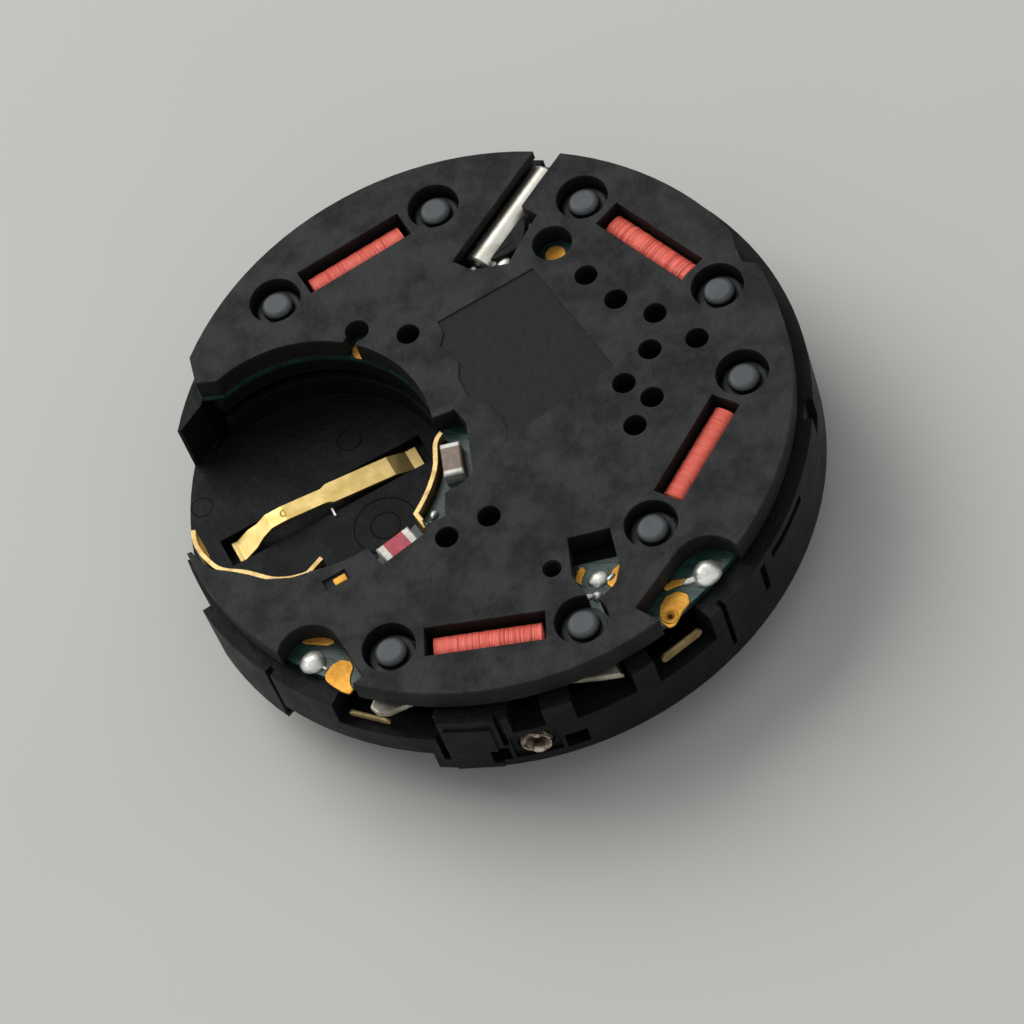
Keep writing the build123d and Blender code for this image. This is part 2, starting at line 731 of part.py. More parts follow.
# Circuit board
with BuildPart() as circuit_board:
    with BuildSketch(Plane.XY.offset(board_low)):
        Circle(board_radius)
        with Locations(pocket_centre):
            Circle(board_pocket_radius, mode=Mode.SUBTRACT)
        Polygon(*all_at(cover_mouth_shares), align=None, mode=Mode.SUBTRACT)
        with Locations(*posts):
            Circle(post_neck_radius + part_gap, mode=Mode.SUBTRACT)
        with Locations(*all_at(access_shares)):
            Circle(access_radius, mode=Mode.SUBTRACT)
        with Locations(at(conical_shares)):
            Circle(conical_radius, mode=Mode.SUBTRACT)
        Polygon(*all_at(board_square_shares), align=None, mode=Mode.SUBTRACT)
    extrude(amount=board_thickness)
    for motor in motors:
        with BuildSketch(motor_plane(motor, board_low)):
            Rectangle(coil_window_length, coil_window_width + 2 * part_gap)
        extrude(amount=board_thickness, mode=Mode.SUBTRACT)
    with BuildSketch(Plane.XY.offset(board_low)):
        with BuildLine():
            Polyline(*slot_line)
        trace(line_width=can_slot_width)
    extrude(amount=board_thickness, mode=Mode.SUBTRACT)
    for path in contact_paths:
        with BuildSketch(Plane.XY.offset(board_low)):
            with BuildLine():
                contact_line(path)
            trace(line_width=board_slot_width)
        extrude(amount=board_thickness, mode=Mode.SUBTRACT)
save(circuit_board, "circuit_board")

# Cover
with BuildPart() as circuit_cover:
    with BuildSketch(Plane.XY.offset(board_top)):
        Circle(cover_radius)
        with Locations(pocket_centre):
            Circle(pocket_radius, mode=Mode.SUBTRACT)
        Polygon(*all_at(cover_mouth_shares), align=None, mode=Mode.SUBTRACT)
        with Locations(*posts):
            Circle(post_recess_radius, mode=Mode.SUBTRACT)
        with Locations(*all_at(access_shares)):
            Circle(access_radius, mode=Mode.SUBTRACT)
        with Locations(at(sight_shares)):
            Circle(sight_radius, mode=Mode.SUBTRACT)
        with Locations(at(keyhole_shares)):
            Circle(keyhole_radius, mode=Mode.SUBTRACT)
        Polygon(*all_at(square_shares), align=None, mode=Mode.SUBTRACT)
        Polygon(*all_at(capacitor_bay_shares), align=None, mode=Mode.SUBTRACT)
        Polygon(*all_at(rim_notch_shares), align=None, mode=Mode.SUBTRACT)
        Polygon(*all_at(solder_bay_shares), align=None, mode=Mode.SUBTRACT)
        Polygon(*all_at(diode_bay_shares), align=None, mode=Mode.SUBTRACT)
        with Locations(Location((*at(tail_bay_shares), 0), (0, 0, tail_turn))):
            Rectangle(*tail_bay_size, mode=Mode.SUBTRACT)
    extrude(amount=cover_thickness)
    for motor in motors:
        with BuildSketch(motor_plane(motor, board_top)):
            Rectangle(coil_window_length, coil_window_width)
        extrude(amount=cover_thickness, mode=Mode.SUBTRACT)
    slots = (
        (slot_line, slot_top_width, cover_top),
        (slot_line, can_slot_width, slot_ceiling),
        ([at(keyhole_shares), at(keyhole_neck_shares)], keyhole_neck_width, cover_top),
        (all_at(right_scallop_shares), 2 * right_scallop_radius, cover_top),
        (all_at(left_scallop_shares), 2 * left_scallop_radius, cover_top),
        (contact_paths[0], contact_slot_width, cover_top),
        (contact_paths[1], contact_slot_width, cover_top),
    )
    for path, width, ceiling in slots:
        with BuildSketch(Plane.XY.offset(board_top)):
            with BuildLine():
                Polyline(*path)
            trace(line_width=width)
        extrude(amount=ceiling - board_top, mode=Mode.SUBTRACT)
    for place_shares, radius in (
        (right_scallop_shares[0], right_scallop_radius),
        (left_scallop_shares[0], left_scallop_radius),
    ):
        with BuildSketch(level(at(place_shares), board_top)):
            Circle(radius)
        extrude(amount=cover_thickness, mode=Mode.SUBTRACT)
    with BuildSketch(level(at(conical_shares), cover_top)):
        Circle(conical_radius)
    extrude(amount=-cover_thickness, taper=conical_taper, mode=Mode.SUBTRACT)
    with BuildSketch(Plane.XY.offset(cover_top - panel_depth)):
        Polygon(*all_at(panel_shares), align=None)
    extrude(amount=panel_depth, mode=Mode.SUBTRACT)
    with BuildSketch(Plane(origin=(*at(chip_shares), board_top))):
        Rectangle(chip_size[0] + 2 * chip_room, chip_size[1] + 2 * chip_room, rotation=chip_turn)
    extrude(amount=chip_height + chip_room, mode=Mode.SUBTRACT)
save(circuit_cover, "circuit_cover")

# Coil posts, one solid for each
with BuildPart() as coil_posts:
    for post in posts:
        post_plane = Plane(origin=(post[0], post[1], 0), x_dir=(1, 0, 0), z_dir=(0, -1, 0))
        head_top = cover_top - post_head_drop
        with BuildSketch(post_plane):
            Polygon(
                (0, post_foot),
                (post_shaft_radius, post_foot),
                (post_shaft_radius, core_top),
                (post_neck_radius, core_top),
                (post_neck_radius, board_top),
                (post_flange_radius, board_top),
                (post_flange_radius, board_top + post_flange_height),
                (post_head_radius, board_top + post_flange_height),
                (post_head_radius, head_top - post_dome),
                (post_head_radius - post_round, head_top - post_shoulder),
                (post_head_radius - 2 * post_round, head_top),
                (0, head_top),
                align=None,
            )
        revolve(axis=Axis((post[0], post[1], 0), (0, 0, 1)))
save(coil_posts, "coil_posts")

# Motors: core, winding, stator, rotor magnet
for index, motor in enumerate(motors):
    half_span = motor["span"] / 2
    with BuildPart() as coil_core:
        with BuildSketch(motor_plane(motor, stator_top)):
            Rectangle(motor["span"], core_width)
            with Locations((-half_span, 0), (half_span, 0)):
                Circle(eyelet_radius)
            with Locations((-half_span, 0), (half_span, 0)):
                Circle(post_shaft_radius + running_gap, mode=Mode.SUBTRACT)
        extrude(amount=core_top - stator_top)
    save(coil_core, f"coil_core_{index + 1}")

    core_middle = (stator_top + core_top) / 2
    winding_plane = Plane(
        origin=motor_plane(motor, core_middle).origin,
        x_dir=(-motor["heading"][1], motor["heading"][0], 0),
        z_dir=(motor["heading"][0], motor["heading"][1], 0),
    )
    with BuildPart() as coil_winding:
        with BuildSketch(winding_plane):
            with Locations((0, winding_rise)):
                RectangleRounded(winding_width, winding_height, winding_corner)
            Rectangle(core_width + 2 * running_gap, sheet_thickness + 2 * running_gap, mode=Mode.SUBTRACT)
        extrude(amount=winding_length / 2, both=True)
    save(coil_winding, f"coil_winding_{index + 1}")

    with BuildPart() as stator:
        with BuildSketch(motor_plane(motor, stator_low)):
            for side in (-1, 1):
                leg = [(side * x * half_span, -y * rotor_inset) for x, y in stator_leg_shares]
                with BuildLine():
                    Polyline((side * half_span, 0), *leg)
                trace(line_width=stator_leg_width)
            with Locations((-half_span, 0), (half_span, 0)):
                Circle(eyelet_radius)
            with Locations((0, -rotor_inset)):
                Circle(stator_ring_radius)
            with Locations((0, -rotor_inset)):
                Circle(stator_hole_radius, mode=Mode.SUBTRACT)
                with Locations((0, stator_ring_radius), (0, -stator_ring_radius)):
                    Circle(stator_notch_radius, mode=Mode.SUBTRACT)
            with Locations((-half_span, 0), (half_span, 0)):
                Circle(post_shaft_radius + running_gap, mode=Mode.SUBTRACT)
        extrude(amount=sheet_thickness)
    save(stator, f"stator_{index + 1}")

    magnet_low = stator_low - magnet_overhang
    magnet_high = stator_top + magnet_overhang
    turning_part(
        f"rotor_magnet_{index + 1}",
        motor["rotor"],
        [],
        [(magnet_radius, magnet_low, magnet_high)],
        [(hub_radius, magnet_low - overrun, magnet_high + overrun)],
    )

# Rotor pinions and the trains above the web
pinion_top = level_e + train_sheet + 2 * pinion_overlap
first_wheels = (
    (train_9, intermediate_1),
    (train_6, intermediate_2),
    ({"module": chrono_module, "teeth": chrono_teeth}, intermediate_3),
    (train_s, intermediate_4),
)
first_phases = []
for index, (train, axis) in enumerate(first_wheels):
    rotor = rotors[index]
    facing = math.atan2(axis[1] - rotor[1], axis[0] - rotor[0])
    turning_part(
        f"rotor_pinion_{index + 1}",
        rotor,
        [(rotor_teeth, train["module"], facing, level_e - pinion_overlap, pinion_top)],
        [
            (arbor_radius, train_foot, train_head),
            (hub_radius, pinion_top, stator_top + magnet_overhang),
        ],
        [],
    )
    first_phases.append(meshing_phase(rotor, rotor_teeth, facing, axis, train["teeth"]))

last_wheels = (
    (train_9, 0, intermediate_1, counter_9, "counter_wheel_9"),
    (train_6, 1, intermediate_2, counter_6, "counter_wheel_6"),
    (train_s, 3, intermediate_4, small_seconds, "small_seconds_wheel"),
)
for train, index, axis, last_axis, label in last_wheels:
    facing = math.atan2(last_axis[1] - axis[1], last_axis[0] - axis[0])
    turning_part(
        f"intermediate_wheel_{index + 1}",
        axis,
        [
            (train["teeth"], train["module"], first_phases[index], level_e, level_e + train_sheet),
            (train["pinion"], train["next_module"], facing, level_d - pinion_overlap, level_e),
        ],
        [(arbor_radius, train_foot, train_head)],
        [],
    )
    last_phase = meshing_phase(axis, train["pinion"], facing, last_axis, train["last"])
    gears = [(train["last"], train["next_module"], last_phase, level_d, level_d + train_sheet)]
    if label == "small_seconds_wheel":
        third_facing = math.atan2(third_axis[1] - last_axis[1], third_axis[0] - last_axis[0])
        gears.append((seconds_pinion, long_module, third_facing, level_s, level_s + dial_sheet))
    turning_part(
        label,
        last_axis,
        gears,
        [
            (counter_post_radius, counter_tip, 0),
            (counter_collar_radius, 0, counter_collar_top),
            (counter_arbor_radius, counter_collar_top, train_head),
        ],
        [],
    )

# Chronograph seconds train
idler_facing = math.atan2(idler_3[1] - intermediate_3[1], idler_3[0] - intermediate_3[0])
turning_part(
    "intermediate_wheel_3",
    intermediate_3,
    [
        (chrono_teeth, chrono_module, first_phases[2], level_e, level_e + train_sheet),
        (chrono_pinion, chrono_next_module, idler_facing, level_c - pinion_overlap, level_e),
    ],
    [(arbor_radius, train_foot, train_head)],
    [],
)
idler_phase = meshing_phase(intermediate_3, chrono_pinion, idler_facing, idler_3, idler_teeth)
turning_part(
    "idler_wheel_3",
    idler_3,
    [(idler_teeth, chrono_next_module, idler_phase, level_c, level_c + train_sheet)],
    [(stud_radius + wide_gap, web_top + running_gap, level_c)],
    [(stud_radius + running_gap, web_top, level_c + train_sheet + overrun)],
)
turning_part(
    "chronograph_seconds_wheel",
    centre,
    [(
        seconds_teeth,
        chrono_next_module,
        meshing_phase(idler_3, idler_teeth, idler_phase, centre, seconds_teeth),
        level_c,
        level_c + train_sheet,
    )],
    [(seconds_post_radius, seconds_tip, cannon_tip), (seconds_arbor_radius, cannon_tip, train_head)],
    [],
)

# Time train on the dial side
third_phase = meshing_phase(small_seconds, seconds_pinion, third_facing, third_axis, third_teeth)
centre_facing = math.atan2(-third_axis[1], -third_axis[0])
turning_part(
    "third_wheel",
    third_axis,
    [
        (third_teeth, long_module, third_phase, level_s, level_s + dial_sheet),
        (third_pinion, centre_module, centre_facing, level_r - pinion_overlap, level_s),
    ],
    [(arbor_radius, part_gap, train_foot + running_gap)],
    [],
)
turning_part(
    "centre_wheel",
    centre,
    [(
        centre_teeth,
        centre_module,
        meshing_phase(third_axis, third_pinion, centre_facing, centre, centre_teeth),
        level_r,
        level_r + dial_sheet,
    )],
    [],
    [(cannon_radius + running_gap, level_r - overrun, level_r + dial_sheet + overrun)],
)
minute_facing = math.radians(minute_angle)
turning_part(
    "cannon_pinion",
    centre,
    [(cannon_teeth, motion_module, minute_facing, level_q - pinion_overlap, level_r)],
    [
        (minute_post_radius, cannon_tip, hour_tip),
        (cannon_body_radius, hour_tip, level_q - pinion_overlap),
        (cannon_radius, level_r, level_r + dial_sheet + pinion_overlap / 2),
    ],
    [(cannon_bore_radius, cannon_tip - overrun, level_r + dial_sheet + overrun)],
)
minute_phase = meshing_phase(centre, cannon_teeth, minute_facing, minute_axis, minute_teeth)
hour_facing = minute_facing + math.pi
turning_part(
    "minute_wheel",
    minute_axis,
    [
        (minute_teeth, motion_module, minute_phase, level_q, level_q + dial_sheet),
        (minute_pinion, motion_module, hour_facing, level_p, level_q),
    ],
    [],
    [(stud_radius + running_gap, level_p - overrun, level_q + dial_sheet + overrun)],
)
turning_part(
    "hour_wheel",
    centre,
    [(
        hour_teeth,
        motion_module,
        meshing_phase(minute_axis, minute_pinion, hour_facing, centre, hour_teeth),
        level_p,
        level_p + dial_sheet,
    )],
    [(hour_pipe_radius, hour_tip, 0), (hour_hub_radius, 0, level_p)],
    [(hour_bore_radius, hour_tip - overrun, level_p + dial_sheet + overrun)],
)
transfer_phase = meshing_phase(minute_axis, minute_teeth, minute_phase, transfer_axis, transfer_teeth)
turning_part(
    "setting_transfer_wheel",
    transfer_axis,
    [(transfer_teeth, motion_module, transfer_phase, level_q, level_q + dial_sheet)],
    [],
    [(stud_radius + running_gap, level_p, level_q + dial_sheet + overrun)],
)
turning_part(
    "setting_wheel",
    setting_axis,
    [(
        setting_teeth,
        motion_module,
        meshing_phase(transfer_axis, transfer_teeth, transfer_phase, setting_axis, setting_teeth),
        level_q,
        setting_top,
    )],
    [],
    [(stud_radius + running_gap, level_p, setting_top + overrun)],
)

# Dial side plate with the studs of the setting wheels
with BuildPart() as dial_side_plate:
    with BuildSketch(Plane.XY):
        for axis, tip, roof in dial_recesses:
            with Locations(axis):
                Circle(tip + wide_gap + dial_plate_margin - running_gap)
        with Locations(*screws):
            Circle(screw_ear_radius - running_gap)
        with Locations(centre):
            Circle(hour_hub_radius + part_gap, mode=Mode.SUBTRACT)
        with Locations(small_seconds):
            Circle(counter_collar_radius + running_gap, mode=Mode.SUBTRACT)
        with Locations(third_axis):
            Circle(arbor_radius + running_gap, mode=Mode.SUBTRACT)
        with Locations(*screws):
            Circle(screw_shank_radius + running_gap, mode=Mode.SUBTRACT)
    extrude(amount=dial_plate_thickness)
    for axis, stud_top in (
        (minute_axis, level_q + dial_sheet),
        (transfer_axis, level_q + dial_sheet),
        (setting_axis, setting_top - running_gap),
    ):
        with BuildSketch(level(axis, dial_plate_thickness)):
            Circle(stud_radius)
        extrude(amount=stud_top - dial_plate_thickness)
    with BuildSketch(Plane.XY):
        with Locations(*screws):
            Circle(screw_head_radius + part_gap)
    extrude(amount=screw_head_height, mode=Mode.SUBTRACT)
save(dial_side_plate, "dial_side_plate")

with BuildPart() as dial_screws:
    with BuildSketch(Plane.XY):
        with Locations(*screws):
            Circle(screw_head_radius)
    extrude(amount=screw_head_height)
    with BuildSketch(Plane.XY):
        with Locations(*screws):
            Circle(screw_shank_radius)
    extrude(amount=screw_length)
save(dial_screws, "dial_screws")

# Setting work on the stem axis
clutch_teeth = 14
clutch_module = 2 * pinion_radius / clutch_teeth
with BuildPart() as sliding_pinion:
    with BuildSketch(stem_plane(pinion_outer_end - pinion_length)):
        with BuildLine():
            Polyline(*tooth_points(clutch_teeth, clutch_module, 0), close=True)
        make_face()
        Circle(pinion_bore_radius, mode=Mode.SUBTRACT)
    extrude(amount=pinion_length)
    with BuildSketch(stem_plane(pinion_outer_end - pinion_length + pinion_groove_start)):
        Circle(trough_radius)
        Circle(pinion_groove_radius, mode=Mode.SUBTRACT)
    extrude(amount=pinion_groove_width, mode=Mode.SUBTRACT)
save(sliding_pinion, "sliding_pinion")

with BuildPart() as yoke:
    with BuildSketch(Plane.XY.offset(lever_low)):
        with BuildLine():
            Polyline(*all_at(yoke_arm_shares))
        trace(line_width=arm_width)
        with BuildLine():
            Polyline(*all_at(yoke_finger_shares))
        trace(line_width=yoke_finger_width)
        with Locations(at(yoke_axis_shares)):
            Circle(lever_hub_radius)
            Circle(lever_stud_radius + running_gap, mode=Mode.SUBTRACT)
    extrude(amount=lever_sheet)
save(yoke, "yoke")

with BuildPart() as setting_lever:
    with BuildSketch(Plane.XY.offset(lever_low)):
        with BuildLine():
            Polyline(*all_at(lever_arm_shares))
        trace(line_width=arm_width)
        with Locations(at(lever_axis_shares)):
            Circle(lever_hub_radius)
            Circle(lever_stud_radius + running_gap, mode=Mode.SUBTRACT)
    extrude(amount=lever_sheet)
save(setting_lever, "setting_lever")

with BuildPart() as stem_bush:
    with BuildSketch(stem_plane(bush_inner_end)):
        Circle(bush_radius - running_gap)
        Circle(stem_bore_radius, mode=Mode.SUBTRACT)
    extrude(amount=bush_end - bush_inner_end)
save(stem_bush, "stem_bush")

# Negative contact, a sprung blade along the pocket floor
blade_start = (slot_start[0], slot_start[1])
blade_plane = Plane(
    origin=(blade_start[0], blade_start[1], 0),
    x_dir=(slot_heading[0], slot_heading[1], 0),
    z_dir=(slot_heading[1], -slot_heading[0], 0),
)
blade_heights = [(run * slot_length, rise * pocket_floor_top) for run, rise in negative_height_shares]
neck_a, neck_b, flare_a, flare_b = [share * slot_length for share in negative_neck_shares]
with BuildPart() as negative_contact:
    with BuildSketch(blade_plane):
        with BuildLine():
            Polyline(*blade_heights)
        trace(line_width=contact_sheet)
    extrude(amount=negative_width / 2, both=True)
    with BuildSketch(Plane(origin=(*blade_start, 0), x_dir=(*slot_heading, 0), z_dir=(0, 0, 1))):
        for side in (-1, 1):
            Polygon(
                (neck_a, side * negative_width / 2),
                (neck_b, side * negative_tip_width / 2),
                (flare_a, side * negative_tip_width / 2),
                (flare_b, side * negative_flare_width / 2),
                (slot_length + overrun, side * negative_flare_width / 2),
                (slot_length + overrun, side * negative_width),
                (neck_a, side * negative_width),
                align=None,
            )
    extrude(amount=wall_top, mode=Mode.SUBTRACT)
save(negative_contact, "negative_contact")

# Positive contacts, blades on edge
for path, label in zip(contact_paths, ("positive_contact_left", "positive_contact_right")):
    with BuildPart() as blade:
        with BuildSketch(Plane.XY.offset(contact_low)):
            with BuildLine():
                contact_line(path)
            trace(line_width=positive_sheet)
        extrude(amount=contact_top - contact_low)
    save(blade, label)

# Pusher contacts behind the rim windows, and the plates above them
for angles, label in (
    (pusher_left_angles, "pusher_contact_left"),
    (pusher_right_angles, "pusher_contact_right"),
):
    root_angle, free_angle = angles
    side = math.copysign(1, free_angle - root_angle)
    tab_turn = side * math.degrees(contact_sheet / pusher_radius)
    with BuildPart() as bar:
        with BuildSketch(Plane.XY.offset(pusher_low)):
            Circle(pusher_radius + contact_sheet)
            Circle(pusher_radius, mode=Mode.SUBTRACT)
            Polygon(
                *sector_points(root_angle, free_angle, pusher_root_radius, bush_end),
                align=None,
                mode=Mode.INTERSECT,
            )
            Polygon(
                *sector_points(
                    root_angle, root_angle + tab_turn, pusher_root_radius, pusher_radius + contact_sheet / 2
                ),
                align=None,
            )
        extrude(amount=pusher_top - pusher_low)
    save(bar, label)

for angles, label in ((plate_left_angles, "pusher_plate_left"), (plate_right_angles, "pusher_plate_right")):
    with BuildPart() as plate:
        with BuildSketch(Plane.XY.offset(plate_low)):
            Circle(plate_outer_radius)
            Circle(plate_inner_radius, mode=Mode.SUBTRACT)
            Polygon(*sector_points(*angles, window_inner_radius - overrun, bush_end), align=None, mode=Mode.INTERSECT)
        extrude(amount=sheet_thickness / 2)
    save(plate, label)

# Crystal can with its two leads left inside the solder
can_start, can_end = at(can_start_shares), at(can_end_shares)
can_run = (can_end[0] - can_start[0], can_end[1] - can_start[1], 0)
can_length = math.hypot(can_run[0], can_run[1])
with BuildPart() as quartz_crystal:
    with BuildSketch(Plane(origin=(*can_start, can_height), x_dir=(-can_run[1], can_run[0], 0), z_dir=can_run)):
        Circle(can_radius)
    extrude(amount=can_length)
    chamfer(quartz_crystal.edges(), length=edge_break)
save(quartz_crystal, "quartz_crystal")

# Chips on the board
for label, place_shares, size, turn, height in (
    ("ic_chip", chip_shares, chip_size, chip_turn, chip_height),
    ("chip_capacitor", capacitor_shares, capacitor_size, 0, capacitor_height),
    ("red_diode", diode_shares, diode_size, diode_turn, diode_height),
):
    with BuildPart() as chip:
        with BuildSketch(level(at(place_shares), board_top)):
            Rectangle(*size, rotation=turn)
        extrude(amount=height)
        chamfer(chip.faces().sort_by(Axis.Z)[-1].edges(), length=small_part_edge)
    save(chip, label)

with BuildPart() as board_pads:
    for x, y, radius in pad_shares:
        with BuildSketch(level(at((x, y)), board_top)):
            Circle(radius * grid)
        extrude(amount=pad_height)
    with BuildSketch(level(at(tail_shares), board_top)):
        Rectangle(*tail_size, rotation=tail_turn)
    extrude(amount=cover_thickness - tail_drop)
save(board_pads, "board_pads")

# Solder mounds, each a cap of a ball
with BuildPart() as solder_joints:
    for x, y, radius, height in solder_shares:
        cap_radius, cap_height = radius * grid, height * grid
        ball_radius = (cap_radius**2 + cap_height**2) / (2 * cap_height)
        with BuildSketch(Plane(origin=(*at((x, y)), board_top), x_dir=(1, 0, 0), z_dir=(0, -1, 0))):
            with BuildLine():
                Line((0, 0), (cap_radius, 0))
                RadiusArc((cap_radius, 0), (0, cap_height), -ball_radius)
                Line((0, cap_height), (0, 0))
            make_face()
        revolve(axis=Axis((*at((x, y)), 0), (0, 0, 1)))
save(solder_joints, "solder_joints")
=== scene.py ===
import math

import bmesh
import bpy
from mathutils import Matrix, Vector, noise


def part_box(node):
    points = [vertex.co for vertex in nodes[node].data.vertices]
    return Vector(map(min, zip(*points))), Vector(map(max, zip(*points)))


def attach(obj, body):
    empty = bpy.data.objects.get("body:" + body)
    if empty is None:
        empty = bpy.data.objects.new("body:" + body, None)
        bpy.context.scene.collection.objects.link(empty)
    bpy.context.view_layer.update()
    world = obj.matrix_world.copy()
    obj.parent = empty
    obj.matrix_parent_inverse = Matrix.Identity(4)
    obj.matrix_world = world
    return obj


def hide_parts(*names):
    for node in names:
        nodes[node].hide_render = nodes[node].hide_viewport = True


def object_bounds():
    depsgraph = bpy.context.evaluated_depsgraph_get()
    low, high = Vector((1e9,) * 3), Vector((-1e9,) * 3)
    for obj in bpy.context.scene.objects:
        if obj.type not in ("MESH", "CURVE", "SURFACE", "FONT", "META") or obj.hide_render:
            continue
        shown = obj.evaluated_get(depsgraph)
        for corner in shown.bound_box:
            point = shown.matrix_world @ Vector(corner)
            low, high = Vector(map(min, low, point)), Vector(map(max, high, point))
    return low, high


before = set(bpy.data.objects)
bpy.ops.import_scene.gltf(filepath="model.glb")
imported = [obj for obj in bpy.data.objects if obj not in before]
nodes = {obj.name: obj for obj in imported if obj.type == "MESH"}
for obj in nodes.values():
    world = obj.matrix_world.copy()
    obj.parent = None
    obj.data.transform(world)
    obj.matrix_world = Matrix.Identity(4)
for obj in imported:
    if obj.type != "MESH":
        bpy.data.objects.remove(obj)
cad_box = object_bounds()

# A millimetre in the frame's metres
MM = 0.001

# Where the photographer stood: the place of the lens and the three axes of the view
LENS_PLACE = Vector((18.339, -89.367, 133.104)) * MM
VIEW_RIGHT = Vector((0.96940, -0.12189, -0.21310))
VIEW_UP = Vector((0.21791, 0.82701, 0.51824))
VIEW_BACK = Vector((0.11307, -0.54882, 0.82826))
LENS_LENGTH = 155.6
LENS_SHIFT = (-0.0021, -0.0009)

# The room's light, and the pale room that metal mirrors
ROOM_LEVEL = 0.48
ROOM_SHINE = 0.7

# The one lamp: its place and size in metres, its power and its colour
LAMP_PLACE = (-0.38, 0.36, 0.52)
LAMP_SIZE = 0.6
LAMP_POWER = 3.9
LAMP_COLOUR = (1.0, 0.99, 0.97)

# Half the side of the square table, in metres
TABLE_HALF = 0.6

# From here on, lengths and places are in millimetres unless a comment says otherwise.
# Vertices closer than this are merged
MERGE_GAP = 0.0005

# The movement's motors, each with one coil
MOTORS = 4

# Plan places of the eight coil posts, in pairs that share a coil
POST_PLACES = (
    (-6.75, 6.86), (-0.48, 9.44), (4.99, 8.29), (9.27, 3.06),
    (9.58, -0.84), (5.51, -6.20), (2.60, -9.41), (-4.17, -8.81),
)

# The level of the battery pocket's floor, and how far below it the painted shade on the plastic begins and
# ends
POCKET_FLOOR = 1.35
POCKET_SHADE = (0.03, 0.1)

# The round marks of the mould's pins on that floor: width of the line, then place and radius of each
PIN_MARK_WIDTH = 0.035
PIN_MARKS = ((-11.02, 1.09, 0.4), (-4.34, -1.46, 1.18), (-4.34, -1.46, 0.55), (-5.29, 2.59, 0.45))

# How far the cover's panel lies below its top, and how much of that level counts as panel
PANEL_DEPTH = 0.05
PANEL_BAND = 0.012

# How far below its top the painted shade in the cover's recesses begins and ends, and the same for the
# painted shade on the posts below their heads
RECESS_SHADE = (0.08, 0.16)
POST_HEAD_SHADE = (0.16, 0.05)

# The punched ring on the crest of the negative contact, and where along X the blade's dull root begins
DIMPLE_PLACE = (-7.91, -0.32)
DIMPLE_RADIUS = 0.14
DIMPLE_WIDTH = 0.05
BLADE_ROOT = (-3.75, -3.55)

# Width of the rounding along the edges of the positive contacts
CONTACT_EDGE = 0.06

# The steel tab at the edge of the slot in the pocket's floor, its turn in degrees
TAB_PLACE = (-6.18, -0.42)
TAB_SIZE = (0.42, 0.1, 0.5)
TAB_TURN = -72
TAB_SUNK = 0.16
TAB_EDGE = 0.025

# The small parts on the board: half the length of the coloured body, and the turn in degrees
CAPACITOR_HALF = 0.47
CAPACITOR_TURN = 90
DIODE_HALF = 0.40
DIODE_TURN = 29

# The wound coils: length, width and height over the wire, and the wire's own pitch
WINDING_LENGTH = 3.85
WINDING_WIDTH = 0.99
WINDING_HEIGHT = 2.67
WINDING_RISE = 0.13
WINDING_CORNER = 0.4
WIRE_PITCH = 0.066
TURNS = int(WINDING_LENGTH / WIRE_PITCH)
STEPS_PER_TURN = 3
GROOVE = 0.003

# How a coil's turns lie a little deep and uneven: mean depth, then two waves by rate and depth
WIRE_SUNK = 0.008
QUICK_WAVE = (2.9, 0.003)
SLOW_WAVE = (0.83, 0.004)

# Pusher contacts: angles of root and tip about the centre in degrees, radius, sheet, height and leg
BAR_ANGLES = {"pusher_contact_left": (-122.6, -114.6), "pusher_contact_right": (-56.2, -64.9)}
BAR_RADIUS = 11.52
BAR_SHEET = 0.12
BAR_HEIGHTS = {"pusher_contact_left": 0.28, "pusher_contact_right": 0.42}
BAR_LEG = 1.2
BAR_EDGE = 0.02

# How far in from the bush's face the painted shade begins to blacken the pusher contacts, and where it ends
BAR_ROOT_SHADE = (0.52, 0.60)

# The bare plates above them: rounding of the corners, then each corner's angle in degrees and radius
PLATE_ROUNDING = 0.04
PLATE_CORNERS = {
    "pusher_plate_left": (
        (-117.4, 10.3), (-117.4, 11.55), (-115.6, 11.74), (-113.6, 11.66),
        (-110.4, 11.2), (-108.6, 11.0), (-108.6, 10.3),
    ),
    "pusher_plate_right": (
        (-80.9, 10.3), (-80.9, 11.1), (-79.4, 11.2), (-76.0, 11.45), (-72.1, 11.74), (-72.1, 10.3),
    ),
}

# The bush: shares of its node's radius and length, and the size and limit of the lumps on it
BUSH_WALL = 0.3
BUSH_REACH = 0.92
BUSH_LENGTH = 0.94
BUSH_LUMP = 0.19
BUSH_LUMP_LIMIT = 0.03

# Gold pads on the board: height above it and depth into it, roundings, and the outlines in plan
PAD_HEIGHT = 0.05
PAD_SUNK = 0.01
PAD_CORNER = 0.07
PAD_SOFT = 0.4
ROUND_PADS = ((-3.95, 4.45, 0.36), (3.6, 6.7, 0.38))
COMMA_PAD = (
    (-6.70, -8.80), (-6.43, -8.45), (-6.05, -8.31), (-5.73, -8.46), (-5.65, -8.73), (-5.80, -9.07),
    (-5.84, -9.35), (-5.73, -9.63), (-5.91, -9.77), (-6.18, -9.60), (-6.51, -9.26), (-6.69, -9.01),
)
CRESCENT_PAD = (
    (-7.41, -7.23), (-7.18, -7.02), (-6.74, -7.00), (-6.35, -7.15), (-6.19, -7.56), (-6.49, -7.63),
    (-6.92, -7.46), (-7.24, -7.36),
)
BEAN_PAD = (
    (5.24, -9.00), (5.51, -8.66), (5.93, -8.55), (6.27, -8.75), (6.30, -9.12), (5.99, -9.41),
    (5.82, -9.68), (5.65, -9.90), (5.42, -9.94), (5.23, -9.68), (5.18, -9.37),
)
STRIP_PAD = ((5.44, -8.29), (5.80, -8.08), (6.34, -8.12), (6.40, -8.33), (5.93, -8.36), (5.55, -8.45))
LEFT_PAD = ((2.45, -7.25), (2.60, -6.85), (2.82, -6.70), (2.92, -6.95), (2.74, -7.20), (2.66, -7.50))
